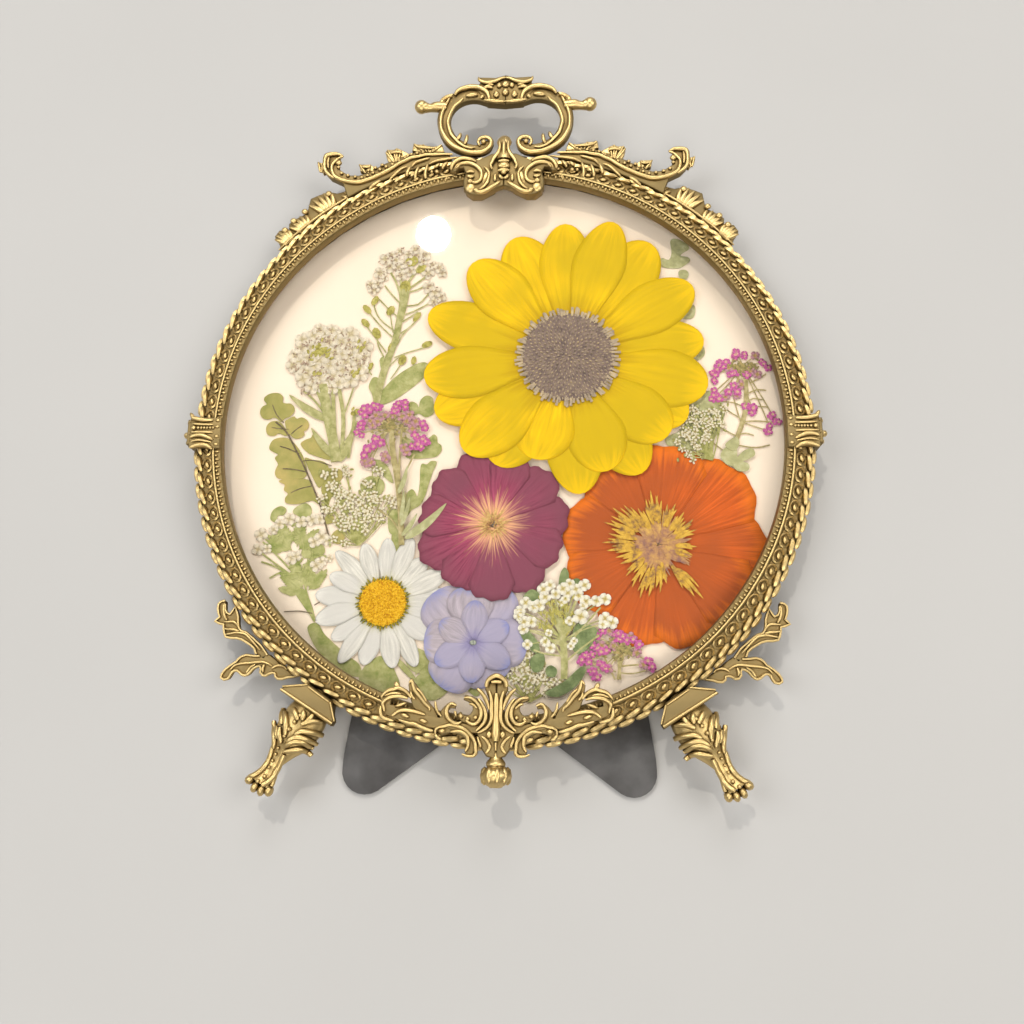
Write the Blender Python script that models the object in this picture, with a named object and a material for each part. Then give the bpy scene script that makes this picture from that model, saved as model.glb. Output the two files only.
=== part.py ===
"""Round brass easel frame with pressed flowers sealed under its glass.

The frame lies on its back. +X is to the right of the picture, +Y is towards the handle, +Z comes out
of the front. Z = 0 is the surface that the folded easel lies on, and X = Y = 0 is the ring's centre.
Sizes below are in millimetres and are turned into metres as the shapes are made.
"""
import math

import bmesh
import bpy
from mathutils import Matrix, Vector

MM = 0.001

# ---- driving dimensions, in millimetres ----
OPENING_RADIUS = 76.2          # a six inch round picture
RING_RADIUS = 84.3
RING_BACK_Z = 3.0
RING_FACE_Z = 13.6
RING_UNITS = 110               # berries along the laurel moulding
SCALLOP = 0.33                 # how far a berry stands out from the moulding
REBATE_RADIUS = 79.4
PICTURE_RADIUS = 79.0
GAP = 0.3                      # clearance between pieces that touch

BOARD_Z = (3.3, 4.8)
CARD_Z = (5.0, 5.5)
GLASS_Z = (8.8, 10.1)
LAYER_THICKNESS = 0.25
LAYER_PITCH = 0.4
FIRST_LAYER_Z = 5.65           # underside of the lowest pressed layer

ORNAMENT_Z = RING_FACE_Z + SCALLOP + GAP
HINGE_Y = 25.0
HINGE_Z = 1.5
BARREL_RADIUS = 1.45
PIN_RADIUS = 0.6
EASEL_THICKNESS = 1.2
LOBE_CENTRE = (34.9, -89.8)
LOBE_RADIUS = 6.1
NOTCH_APEX_Y = -73.0
PLAN_SCALE = 0.9865            # fits the drawn plan of castings and flowers to the ring
PLAN_SHIFT = (0.2, -1.16)

DISC_SIDES = 48


def clear_scene():
    for item in list(bpy.data.objects):
        bpy.data.objects.remove(item, do_unlink=True)


def new_collection(name):
    group = bpy.data.collections.new(name)
    bpy.context.scene.collection.children.link(group)
    return group


def new_material(name, colour, roughness, metallic=0.0):
    finish = bpy.data.materials.new(name)
    finish.use_nodes = True
    shader = finish.node_tree.nodes["Principled BSDF"]
    shader.inputs["Base Color"].default_value = (*colour, 1.0)
    shader.inputs["Roughness"].default_value = roughness
    shader.inputs["Metallic"].default_value = metallic
    return finish


clear_scene()
PARTS = new_collection("pressed_flower_frame")

BRASS = new_material("antique brass", (0.42, 0.27, 0.09), 0.35, 1.0)
STEEL = new_material("grey painted steel", (0.09, 0.10, 0.11), 0.45)
GLASS = new_material("clear glass", (0.9, 0.93, 0.93), 0.03)
CARD = new_material("cream card", (0.83, 0.77, 0.68), 0.9)
BOARD = new_material("black backing board", (0.03, 0.03, 0.032), 0.85)
YELLOW = new_material("yellow petal", (0.90, 0.60, 0.02), 0.7)
BROWN = new_material("brown flower disc", (0.16, 0.12, 0.08), 0.9)
BURGUNDY = new_material("burgundy petal", (0.26, 0.03, 0.07), 0.75)
ORANGE = new_material("orange petal", (0.75, 0.12, 0.02), 0.7)
STAMEN = new_material("ochre stamens", (0.62, 0.38, 0.07), 0.9)
WHITE = new_material("white petal", (0.72, 0.69, 0.62), 0.8)
GOLD = new_material("golden flower disc", (0.85, 0.45, 0.02), 0.9)
LAVENDER = new_material("lavender petal", (0.34, 0.36, 0.62), 0.75)
GREEN = new_material("dried green leaf", (0.27, 0.33, 0.11), 0.85)
PINK = new_material("pink blossom", (0.55, 0.13, 0.36), 0.85)
CREAM = new_material("cream blossom", (0.72, 0.66, 0.52), 0.85)


# ---- making and joining shapes ----
def add_mesh(name, mesh, finish):
    item = bpy.data.objects.new(name, mesh)
    PARTS.objects.link(item)
    mesh.materials.clear()
    mesh.materials.append(finish)
    mesh.shade_smooth()
    mesh.set_sharp_from_angle(angle=math.radians(35))
    return item


def mesh_from_bmesh(shape):
    bmesh.ops.recalc_face_normals(shape, faces=shape.faces)
    mesh = bpy.data.meshes.new("shape")
    shape.to_mesh(mesh)
    shape.free()
    return mesh


def mesh_from_curve(curve, matrix):
    """The curve's evaluated surface as a welded mesh, with its place applied."""
    item = bpy.data.objects.new("curve", curve)
    PARTS.objects.link(item)
    bpy.context.view_layer.update()
    evaluated = item.evaluated_get(bpy.context.evaluated_depsgraph_get())
    mesh = bpy.data.meshes.new_from_object(evaluated)
    bpy.data.objects.remove(item, do_unlink=True)
    shape = bmesh.new()
    shape.from_mesh(mesh)
    bmesh.ops.remove_doubles(shape, verts=shape.verts, dist=1e-6)
    bmesh.ops.transform(shape, matrix=matrix, verts=shape.verts)
    return mesh_from_bmesh(shape)


def prism(outline, low, high):
    """A flat outline of (x, y) points, filled and given its thickness from low to high."""
    curve = bpy.data.curves.new("outline", "CURVE")
    curve.dimensions = "2D"
    curve.fill_mode = "BOTH"
    curve.extrude = (high - low) / 2 * MM
    line = curve.splines.new("POLY")
    line.points.add(len(outline) - 1)
    for point, (x, y) in zip(line.points, outline):
        point.co = (x * MM, y * MM, 0, 1)
    line.use_cyclic_u = True
    return mesh_from_curve(curve, Matrix.Translation((0, 0, (low + high) / 2 * MM)))


def tube(points, z, depth=1.0, resolution=1):
    """A rod along (x, y, radius) points at height z, pressed to depth times its thickness."""
    curve = bpy.data.curves.new("rod", "CURVE")
    curve.dimensions = "3D"
    curve.bevel_depth = MM
    curve.bevel_resolution = resolution
    curve.use_fill_caps = True
    line = curve.splines.new("POLY")
    line.points.add(len(points) - 1)
    for point, (x, y, radius) in zip(line.points, points):
        point.co = (x * MM, y * MM, 0, 1)
        point.radius = radius
    flat = Matrix.Diagonal((1, 1, depth, 1))
    return mesh_from_curve(curve, Matrix.Translation((0, 0, z * MM)) @ flat)


def ball(x, y, z, radius, depth=1.0, segments=7, rings=4):
    shape = bmesh.new()
    place = Matrix.Translation((x * MM, y * MM, z * MM)) @ Matrix.Diagonal((1, 1, depth, 1))
    bmesh.ops.create_uvsphere(shape, u_segments=segments, v_segments=rings,
                              radius=radius * MM, matrix=place)
    return mesh_from_bmesh(shape)


def leaf_point(root, tip, width, z, depth=0.6):
    """A four-sided spike from root to tip: one point of a cast leaf."""
    start, end = Vector((*root, 0)), Vector((*tip, 0))
    along = end - start
    turn = Vector((0, 0, 1)).rotation_difference(along).to_matrix().to_4x4()
    middle = Matrix.Translation((start + end) / 2 * MM + Vector((0, 0, z * MM)))
    shape = bmesh.new()
    bmesh.ops.create_cone(shape, cap_ends=True, segments=4, radius1=width / 2 * MM,
                          radius2=0.12 * MM, depth=along.length * MM,
                          matrix=middle @ Matrix.Diagonal((1, 1, depth, 1)) @ turn)
    return mesh_from_bmesh(shape)


def cylinder(radius, low, high, sides=DISC_SIDES, centre=(0, 0)):
    shape = bmesh.new()
    place = Matrix.Translation((centre[0] * MM, centre[1] * MM, (low + high) / 2 * MM))
    bmesh.ops.create_cone(shape, cap_ends=True, segments=sides, radius1=radius * MM,
                          radius2=radius * MM, depth=(high - low) * MM, matrix=place)
    return mesh_from_bmesh(shape)


def combine(meshes, operation="UNION"):
    """Joins the meshes into one solid, or cuts all the later ones from the first."""
    body = bpy.data.objects.new("body", meshes[0])
    PARTS.objects.link(body)
    for mesh in meshes[1:]:
        other = bpy.data.objects.new("other", mesh)
        PARTS.objects.link(other)
        step = body.modifiers.new("step", "BOOLEAN")
        step.operation = operation
        step.solver = "EXACT"
        step.object = other
        bpy.context.view_layer.update()
        evaluated = body.evaluated_get(bpy.context.evaluated_depsgraph_get())
        body.data = bpy.data.meshes.new_from_object(evaluated)
        body.modifiers.clear()
        bpy.data.objects.remove(other, do_unlink=True)
    shape = bmesh.new()
    shape.from_mesh(body.data)
    bpy.data.objects.remove(body, do_unlink=True)
    bmesh.ops.remove_doubles(shape, verts=shape.verts, dist=2e-6)
    bmesh.ops.dissolve_limit(shape, angle_limit=math.radians(0.5), verts=shape.verts,
                             edges=shape.edges)
    bmesh.ops.triangulate(shape, faces=shape.faces)
    return mesh_from_bmesh(shape)


def mirrored(mesh):
    """The left-hand twin of a right-hand casting."""
    shape = bmesh.new()
    shape.from_mesh(mesh)
    bmesh.ops.transform(shape, matrix=Matrix.Diagonal((-1, 1, 1, 1)), verts=shape.verts)
    bmesh.ops.reverse_faces(shape, faces=shape.faces)
    return mesh_from_bmesh(shape)


def fitted(mesh, aside=0.0):
    """A drawn plan scaled and moved to fit the ring. Heights stay as they are."""
    place = Matrix.Translation((aside * MM, PLAN_SHIFT[1] * MM, 0))
    mesh.transform(place @ Matrix.Diagonal((PLAN_SCALE, PLAN_SCALE, 1, 1)))
    return mesh


def add_pressed(name, mesh, finish):
    """Adds a pressed specimen, fitted to the ring."""
    add_mesh(name, fitted(mesh, PLAN_SHIFT[0]), finish)


def add_pair(name, mesh, finish=BRASS):
    add_mesh(name + "_right", mesh, finish)
    add_mesh(name + "_left", mirrored(mesh), finish)


def both_sides(points):
    """Closes a right-hand half outline, listed from its top to its bottom, with its mirror image."""
    inner = [(-x, y) for x, y in reversed(points) if x > 0]
    return list(points) + inner


def polar(radius, degrees):
    return radius * math.cos(math.radians(degrees)), radius * math.sin(math.radians(degrees))


def arc(centre, radius, start, end, steps):
    """Points on an arc between two angles in degrees."""
    turns = [start + (end - start) * i / steps for i in range(steps + 1)]
    return [(centre[0] + polar(radius, t)[0], centre[1] + polar(radius, t)[1]) for t in turns]


# ---- the ring, the glass and the back ----
def make_ring():
    """A turned moulding whose outer rows swell and narrow with each berry."""
    profile = [(OPENING_RADIUS - 0.1, GLASS_Z[1] + GAP), (OPENING_RADIUS + 0.4, RING_FACE_Z - 0.2),
               (RING_RADIUS - 3.0, RING_FACE_Z), (RING_RADIUS, RING_FACE_Z - 3.4),
               (RING_RADIUS - 0.6, RING_BACK_Z), (REBATE_RADIUS, RING_BACK_Z),
               (REBATE_RADIUS, GLASS_Z[1] + GAP)]
    shape = bmesh.new()
    corners = [shape.verts.new((r * MM, 0, z * MM)) for r, z in profile]
    sides = [shape.edges.new(pair) for pair in zip(corners, corners[1:] + corners[:1])]
    bmesh.ops.spin(shape, geom=corners + sides, axis=(0, 0, 1), cent=(0, 0, 0),
                   angle=math.tau, steps=2 * RING_UNITS, use_merge=True)
    moulded_from = (OPENING_RADIUS + 3) * MM
    for corner in shape.verts:
        radius, z = corner.co.xy.length, corner.co.z
        if radius < moulded_from or z < GLASS_Z[1] * MM - 1e-6 or abs(radius - REBATE_RADIUS * MM) < 1e-6:
            continue
        swell = SCALLOP * MM * math.cos(RING_UNITS * math.atan2(corner.co.y, corner.co.x))
        corner.co.xy *= (radius + swell) / radius
        corner.co.z += swell * 0.9
    add_mesh("ring", mesh_from_bmesh(shape), BRASS)


def make_picture_stack():
    add_mesh("glass", cylinder(PICTURE_RADIUS, *GLASS_Z), GLASS)
    add_mesh("card", cylinder(PICTURE_RADIUS, *CARD_Z), CARD)
    add_mesh("back_board", cylinder(PICTURE_RADIUS, *BOARD_Z), BOARD)


def make_clips():
    """Four bent tabs under the ring's rear edge that keep the board in."""
    low, high = RING_BACK_Z - GAP - 0.7, RING_BACK_Z - GAP
    reach, half = (73.5, 81.8), 3.0
    for number, turn in enumerate((35, 145, 215, 325), start=1):
        tab = prism([(reach[0], -half), (reach[1], -half), (reach[1], half), (reach[0], half)],
                    low, high)
        tab.transform(Matrix.Rotation(math.radians(turn), 4, "Z"))
        add_mesh(f"clip_{number}", tab, STEEL)


# ---- the easel and its hinge ----
def knuckle(start, end):
    """A barrel around the hinge pin from x = start to x = end, with its bore."""
    turn = Matrix.Rotation(math.radians(90), 4, "Y")
    place = Matrix.Translation(((start + end) / 2 * MM, HINGE_Y * MM, HINGE_Z * MM)) @ turn
    barrel, bore = bmesh.new(), bmesh.new()
    bmesh.ops.create_cone(barrel, cap_ends=True, segments=12, radius1=BARREL_RADIUS * MM,
                          radius2=BARREL_RADIUS * MM, depth=(end - start) * MM, matrix=place)
    bore_radius = (PIN_RADIUS + GAP) * MM
    bmesh.ops.create_cone(bore, cap_ends=True, segments=8, radius1=bore_radius,
                          radius2=bore_radius, depth=(end - start + 2) * MM, matrix=place)
    return mesh_from_bmesh(barrel), mesh_from_bmesh(bore)


KNUCKLES = (-22.0, -14.3, -14.0, 14.0, 14.3, 22.0)   # ends of the three barrels along X


def easel_outline():
    """Two rounded lobes below an inverted V notch, narrowing up to the hinge."""
    lobe = arc(LOBE_CENTRE, LOBE_RADIUS, 8, -123, 8)
    side_x = LOBE_CENTRE[0] + LOBE_RADIUS
    top = 23.9
    half = [(0, HINGE_Y - 2.1), (14.15, HINGE_Y - 2.1), (14.3, HINGE_Y), (22.0, HINGE_Y),
            (top, HINGE_Y - 3.0), (side_x - 0.3, LOBE_CENTRE[1] + 4.0)]
    half += lobe
    half += [(3.0, NOTCH_APEX_Y - 1.2), (0, NOTCH_APEX_Y)]
    return both_sides(half)


def make_easel():
    plate = prism(easel_outline(), 0.0, EASEL_THICKNESS)
    left_barrel, left_bore = knuckle(KNUCKLES[0], KNUCKLES[1])
    right_barrel, right_bore = knuckle(KNUCKLES[4], KNUCKLES[5])
    body = combine([plate, left_barrel, right_barrel])
    add_mesh("easel", combine([body, left_bore, right_bore], "DIFFERENCE"), STEEL)


def make_hinge():
    """The leaf fixed to the back board, with its long middle knuckle, and the pin."""
    barrel, bore = knuckle(KNUCKLES[2], KNUCKLES[3])
    top = BOARD_Z[0] - GAP
    half = [(0, HINGE_Y + 22), (10.5, HINGE_Y + 22), (13.5, HINGE_Y + 18), (13.5, HINGE_Y + 0.2),
            (0, HINGE_Y + 0.2)]
    leaf = prism(both_sides(half), top - 1.0, top)
    body = combine([leaf, barrel])
    add_mesh("hinge_plate", combine([body, bore], "DIFFERENCE"), STEEL)
    turn = Matrix.Rotation(math.radians(90), 4, "Y")
    pin = bmesh.new()
    bmesh.ops.create_cone(pin, cap_ends=True, segments=12, radius1=PIN_RADIUS * MM,
                          radius2=PIN_RADIUS * MM, depth=47 * MM,
                          matrix=Matrix.Translation((0, HINGE_Y * MM, HINGE_Z * MM)) @ turn)
    add_mesh("hinge_pin", mesh_from_bmesh(pin), STEEL)


# ---- cast ornaments ----
def make_handle():
    """A loop of two C scrolls under a shell, with a ball on a short arm at each side."""
    z, depth = 11.6, 0.85
    scroll = [(4.4, 91.2, 1.1), (5.6, 89.4, 1.4), (8.6, 88.6, 1.5), (12.5, 89.3, 1.8),
              (16.0, 91.8, 1.95), (18.1, 96.0, 2.0), (18.2, 100.4, 2.0), (16.2, 104.3, 1.95),
              (12.6, 106.8, 1.9), (8.4, 107.3, 1.8), (4.6, 105.2, 1.4)]
    side_arm = [(17.5, 102.6, 1.4), (21.0, 102.9, 1.1), (24.8, 103.9, 1.3)]
    shell = both_sides([(0, 113.6), (3.0, 112.5), (7.9, 113.0), (6.6, 110.9), (9.4, 108.8),
                        (5.2, 103.4), (0, 103.0)])
    pieces = [prism(shell, z - 1.9, z + 2.2)]
    for half in (scroll, side_arm):
        right = tube(half, z, depth)
        pieces += [right, mirrored(right)]
    for sign in (1, -1):
        pieces.append(ball(sign * 24.8, 103.9, z, 2.2, depth))
        pieces.append(ball(sign * 5.5, 91.2, z, 1.75, depth))
        pieces.append(leaf_point((sign * 12.6, 89.4), (sign * 13.0, 94.2), 3.2, z))
    add_mesh("handle", fitted(combine(pieces)), BRASS)


def make_clasp():
    """The cartouche over the ring's top: a vase between the scroll ends and two big lobes below."""
    top = ORNAMENT_Z + 2.4
    face = both_sides([(0, 84.6), (4.0, 84.2), (9.6, 84.6), (12.2, 82.0), (11.0, 79.2), (12.1, 75.4),
                       (11.4, 72.4), (8.7, 69.9), (6.0, 69.4), (2.9, 70.9), (0, 76.3)])
    vase = tube([(0, 91.3, 1.7), (0, 88.5, 1.3), (0, 87.3, 1.8)], 13.3, 1.5)
    collar = tube([(0, 87.4, 1.5), (0, 83.0, 2.3)], top - 0.4, 0.8)
    pieces = [prism(face, ORNAMENT_Z, top), vase, collar]
    ridge = [(2.2, 82.6, 1.0), (6.5, 83.2, 1.2), (9.4, 81.3, 1.3), (9.3, 78.6, 1.3)]
    lobe = ball(7.2, 73.6, top - 0.2, 3.9, 0.45)
    for half in (tube(ridge, top - 0.15, 0.7), lobe):
        pieces += [half, mirrored(half)]
    add_mesh("clasp", fitted(combine(pieces)), BRASS)


def make_crest_arm():
    """A beaded S scroll with leaves on its outer edge, a volute at its end and a web down to the ring."""
    z, depth = 10.2, 0.9
    band = [(15.5, 87.3, 0.8), (18.0, 87.5, 1.3), (21.0, 87.4, 1.8), (27.0, 86.9, 2.2), (33.5, 84.4, 2.2),
            (40.0, 81.6, 2.0), (45.5, 80.5, 1.8), (50.0, 81.6, 1.7), (52.7, 84.2, 1.6),
            (52.3, 86.9, 1.3), (50.2, 87.6, 0.9)]
    pieces = [tube(band, z, depth)]
    leaves = [((17.3, 87.2), (18.9, 90.6), 3.0), ((23.5, 87.2), (27.7, 91.0), 3.8),
              ((32.0, 85.6), (35.6, 89.0), 3.8), ((40.0, 82.0), (43.6, 84.8), 3.2),
              ((51.8, 84.2), (55.9, 85.7), 2.6)]
    pieces += [leaf_point(root, tip, width, z) for root, tip, width in leaves]
    web = [polar(RING_RADIUS + SCALLOP + GAP, turn) for turn in (79.5, 76, 72, 68, 64, 60, 57.5)]
    web += [(46.0, 77.5), (39.5, 79.3), (33.0, 82.1), (26.6, 84.5), (19.7, 85.2)]
    add_pair("crest_arm", combine([fitted(combine(pieces)), prism(web, 8.4, 10.4)]))


def make_shoulder_leaf():
    """A chain of leaf clusters along the ring's outer edge, below the arm's volute."""
    outer = [(85.4, 40.0), (87.5, 41.6), (90.6, 42.2), (91.0, 43.6), (89.2, 45.0), (90.6, 45.8),
             (90.2, 47.9), (89.6, 49.6), (92.8, 51.9), (92.2, 53.5), (91.4, 55.4), (89.5, 56.5),
             (88.0, 60.0), (86.6, 64.0), (85.7, 71.8), (85.4, 73.3)]
    inner = [(RING_RADIUS + SCALLOP + GAP, 73.0 - 4.6 * i) for i in range(8)]
    add_pair("shoulder_leaf", prism([polar(r, t) for r, t in outer + inner], 5.4, 7.9))


def make_side_band():
    """A strap over the moulding at the horizontal diameter, with a small knob."""
    face, outside = ORNAMENT_Z, RING_RADIUS + SCALLOP + GAP
    strap = prism([(75.7, face), (outside, face), (outside, 6.0), (outside + 0.9, 6.0),
                   (outside + 0.9, face + 0.9), (75.7, face + 0.9)], -3.7, 3.7)
    strap.transform(Matrix.Translation((0, -0.8 * MM, 0)) @ Matrix.Rotation(math.radians(90), 4, "X"))
    knob = ball(outside + 1.2, -0.9, 10.0, 1.5)
    add_pair("side_band", combine([strap, knob]))


def make_acanthus():
    """A forked leaf spray on the ring's outer edge above each leg."""
    z, depth = 8.2, 0.8
    upper = [(60.8, -62.4, 1.5), (64.8, -59.2, 1.9), (68.4, -55.0, 2.2), (71.8, -51.6, 1.8),
             (74.2, -48.6, 1.3), (73.6, -46.6, 0.8)]
    lower = [(55.9, -66.4, 1.1), (60.2, -63.4, 2.0), (64.6, -62.3, 1.9), (68.8, -63.3, 1.5),
             (72.0, -66.4, 0.9)]
    join = [(65.2, -59.0, 1.7), (61.4, -63.4, 1.8)]
    pieces = [tube(line, z, depth) for line in (lower, upper, join)]
    leaves = [((70.5, -53.0), (75.3, -51.9), 2.6), ((68.0, -55.4), (73.1, -55.8), 2.8),
              ((66.2, -62.4), (66.9, -65.9), 2.4), ((61.5, -63.2), (61.7, -66.2), 2.6),
              ((57.5, -64.9), (57.2, -67.0), 2.2)]
    pieces += [leaf_point(root, tip, width, z) for root, tip, width in leaves]
    add_pair("acanthus", fitted(combine(pieces)))


LEG_ANGLE = -57.35


def make_leg():
    """A flared capital against the ring, a fluted knee, a slim ankle and a paw."""
    z = 9.5
    start = RING_RADIUS + SCALLOP + GAP
    capital = bmesh.new()
    bmesh.ops.create_cube(capital, size=1.0)
    for corner in capital.verts:
        flare = corner.co.x > 0
        half_width, half_depth = (8.1, 4.5) if flare else (4.1, 2.6)
        corner.co = Vector((start + (3.7 if flare else 0), math.copysign(half_width, corner.co.y),
                            math.copysign(half_depth, corner.co.z))) * MM
    bmesh.ops.translate(capital, vec=(0, 0, z * MM), verts=capital.verts)
    knee = [(87.5, 0, 4.4), (90.5, 0.2, 5.9), (94.5, 0.4, 6.2), (98.2, 0.3, 5.2), (101.5, 0.2, 3.2),
            (105.2, 0, 1.7), (108.6, 0, 2.1), (110.8, 0, 3.0), (112.0, 0, 2.0)]
    pieces = [mesh_from_bmesh(capital), tube(knee, z, 0.72, resolution=2)]
    for root, tip in (((90, -3), (90.6, -6.6)), ((92.6, -3), (94.6, -6.9)), ((95.5, -2), (98.9, -6.6)),
                      ((95.5, 3), (98.4, 7.2))):
        pieces.append(leaf_point(root, tip, 3.6, z, 1.0))
    pieces += [ball(111.6, offset, z, 1.35) for offset in (-3.0, -1.1, 1.1, 3.0)]
    leg = combine(pieces)
    leg.transform(Matrix.Rotation(math.radians(LEG_ANGLE), 4, "Z"))
    add_pair("leg", leg)


def make_bottom_crest():
    """Pierced volutes and leaves around a shell-topped stem, with scrolls and a finial below."""
    z, depth = ORNAMENT_Z + 1.25, 0.95
    stem = both_sides([(0, -66.2), (2.7, -66.8), (3.2, -68.8), (1.9, -72.0), (2.4, -76.5),
                       (5.2, -80.2), (5.4, -83.0), (3.4, -86.6), (0, -87.2)])
    pieces = [prism(stem, ORNAMENT_Z, ORNAMENT_Z + 2.6)]
    volute = [(9.6, -74.9, 0.8), (8.0, -76.3, 1.0), (5.6, -75.6, 1.2), (4.6, -72.8, 1.2),
              (5.6, -70.0, 1.1), (8.6, -68.7, 1.0), (11.6, -69.9, 1.1), (12.8, -73.0, 1.2),
              (14.6, -76.0, 1.3), (18.2, -76.9, 1.3), (23.0, -75.0, 1.3), (27.6, -72.2, 1.2),
              (29.6, -69.8, 1.1), (28.6, -68.2, 0.9)]
    bridge = [(4.6, -73.5, 1.2), (1.5, -74.5, 1.2)]
    foot = [(3.0, -79.6, 1.3), (8.0, -79.9, 1.2), (13.0, -78.6, 1.3), (15.2, -76.4, 1.2)]
    lower_scroll = [(14.6, -80.7, 0.9), (12.2, -79.6, 1.2), (8.8, -80.9, 1.4), (7.1, -83.6, 1.4),
                    (7.0, -85.4, 1.3), (5.2, -85.9, 1.1)]
    for line in (volute, bridge, foot, lower_scroll):
        right = tube(line, z, depth)
        pieces += [right, mirrored(right)]
    for sign in (1, -1):
        for root, tip in (((17.0, -76.4), (22.3, -67.3)), ((23.0, -74.5), (26.6, -67.4))):
            pieces.append(leaf_point((sign * root[0], root[1]), (sign * tip[0], tip[1]), 3.6, z))
    finial = [(0, -85.6, 2.0), (0, -87.4, 1.9), (0, -88.0, 2.9), (0, -89.4, 4.1), (0, -91.2, 4.2),
              (0, -92.8, 3.1), (0, -93.7, 1.4)]
    pieces.append(tube(finial, z - 1.6, 0.9, resolution=2))
    add_mesh("bottom_crest", fitted(combine(pieces)), BRASS)


# ---- pressed flowers ----
def layer(number, thickness=LAYER_THICKNESS):
    """Lowest and highest Z of a pressed layer, counted from the card."""
    low = FIRST_LAYER_Z + LAYER_PITCH * number
    return low, low + thickness


def trimmed(x, y):
    """A point pulled in to the picture's edge, where the specimens are trimmed."""
    share = min(1.0, (PICTURE_RADIUS - 0.4) / max(math.hypot(x, y), 0.1))
    return x * share, y * share


def petal_outline(centre, core, petals, samples):
    """The outline of overlapping petals. A petal is (direction in degrees, length, half angle)."""
    outline = []
    for step in range(samples):
        turn = 360.0 * step / samples
        reach = core
        for direction, length, half_angle in petals:
            off = abs((turn - direction + 180) % 360 - 180) / half_angle
            if off < 1:
                reach = max(reach, core + (length - core) * (1 - off ** 2.6) ** 0.5)
        x, y = polar(reach, turn)
        outline.append(trimmed(centre[0] + x, centre[1] + y))
    return outline


def even_petals(count, length, half_angle, first=0.0, wave=0.0):
    """Petals at equal turns, whose lengths vary by wave from one to the next."""
    return [(first + 360.0 * i / count, length + wave * math.sin(2.4 * i), half_angle)
            for i in range(count)]


YELLOW_CENTRE = (18.3, 24.4)
YELLOW_TIPS = [(17.5, 66.3), (31.6, 66.7), (42.8, 59.5), (53.9, 46.4), (56.7, 30.0), (57.3, 14.9),
               (51.5, 6.1), (45.5, 0.3), (38.4, -10.0), (29.7, -9.1), (20.6, -15.9), (9.1, -5.9),
               (-2.5, -7.0), (-10.4, -3.8), (-18.8, 7.0), (-22.5, 17.8), (-22.0, 37.8),
               (-9.6, 53.8), (2.9, 62.0)]
ROSE_CENTRE, ROSE_RADIUS = (-2.3, -24.2), 20.9
COSMOS_CENTRE = (42.6, -29.9)
COSMOS_TIPS = [(71.6, -31.5), (66.5, -10.5), (47.5, -1.8), (28.0, -7.0), (17.0, -24.0), (19.5, -43.0),
               (34.0, -56.5), (52.5, -56.5), (66.0, -46.0)]
DAISY_CENTRE, DAISY_PETALS = (-31.8, -45.9), 17
HYDRANGEA_CENTRE = (-7.1, -56.6)


def petals_to(centre, tips, half_angle):
    """Petals that reach the given tips."""
    made = []
    for x, y in tips:
        dx, dy = x - centre[0], y - centre[1]
        made.append((math.degrees(math.atan2(dy, dx)), math.hypot(dx, dy), half_angle))
    return made


def make_flower_heads():
    petals = petals_to(YELLOW_CENTRE, YELLOW_TIPS, 13)
    outline = petal_outline(YELLOW_CENTRE, 16, petals, 90)
    add_pressed("yellow_flower_petals", prism(outline, *layer(4)), YELLOW)
    low = layer(4)[1] + 0.1
    disc = bmesh.new()
    bmesh.ops.create_cone(disc, cap_ends=True, segments=24, radius1=14.0 * MM, radius2=11.5 * MM,
                          depth=0.9 * MM,
                          matrix=Matrix.Translation(Vector((*YELLOW_CENTRE, low + 0.45)) * MM))
    add_pressed("yellow_flower_disc", mesh_from_bmesh(disc), BROWN)

    ruffles = even_petals(11, ROSE_RADIUS, 19, 8, 0.7)
    add_pressed("rose_bloom", prism(petal_outline(ROSE_CENTRE, 16, ruffles, 44), *layer(3)), BURGUNDY)

    petals = petals_to(COSMOS_CENTRE, COSMOS_TIPS, 27)
    add_pressed("cosmos_petals", prism(petal_outline(COSMOS_CENTRE, 20, petals, 54), *layer(1)), ORANGE)
    tuft = even_petals(12, 10.0, 9, 5, 2.2) + [(-58, 19.8, 7), (88, 13.2, 8)]
    add_pressed("cosmos_stamens", prism(petal_outline(COSMOS_CENTRE, 6.5, tuft, 52), *layer(2, 0.8)), STAMEN)

    rays = even_petals(DAISY_PETALS, 18.0, 9.5, 4, 1.4)
    add_pressed("daisy_petals", prism(petal_outline(DAISY_CENTRE, 8, rays, 85), *layer(1)), WHITE)
    add_pressed("daisy_disc", cylinder(7.0, *layer(2, 0.8), sides=20, centre=DAISY_CENTRE), GOLD)

    florets = even_petals(5, 13.2, 34, 20, 0.8)
    outline = petal_outline(HYDRANGEA_CENTRE, 9, florets, 40)
    add_pressed("hydrangea_floret", prism(outline, *layer(2)), LAVENDER)


# ---- pressed sprigs and leaves ----
def stroke(points, width):
    """The outline of a stem of the given width along points."""
    left, right = [], []
    for i, (x, y) in enumerate(points):
        before, after = points[max(i - 1, 0)], points[min(i + 1, len(points) - 1)]
        along = Vector((after[0] - before[0], after[1] - before[1])).normalized()
        side = Vector((-along.y, along.x)) * width / 2
        left.append((x + side.x, y + side.y))
        right.append((x - side.x, y - side.y))
    return left + right[::-1]


def blob(x, y, length, width, turn=0.0, sides=8):
    """An oval outline: a flower cluster, a seed pod or a leaf."""
    outline = []
    for i in range(sides):
        a, b = polar(length / 2, 360 * i / sides)[0], polar(width / 2, 360 * i / sides)[1]
        c, s = polar(1, turn)
        outline.append(trimmed(x + a * c - b * s, y + a * s + b * c))
    return outline


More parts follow.
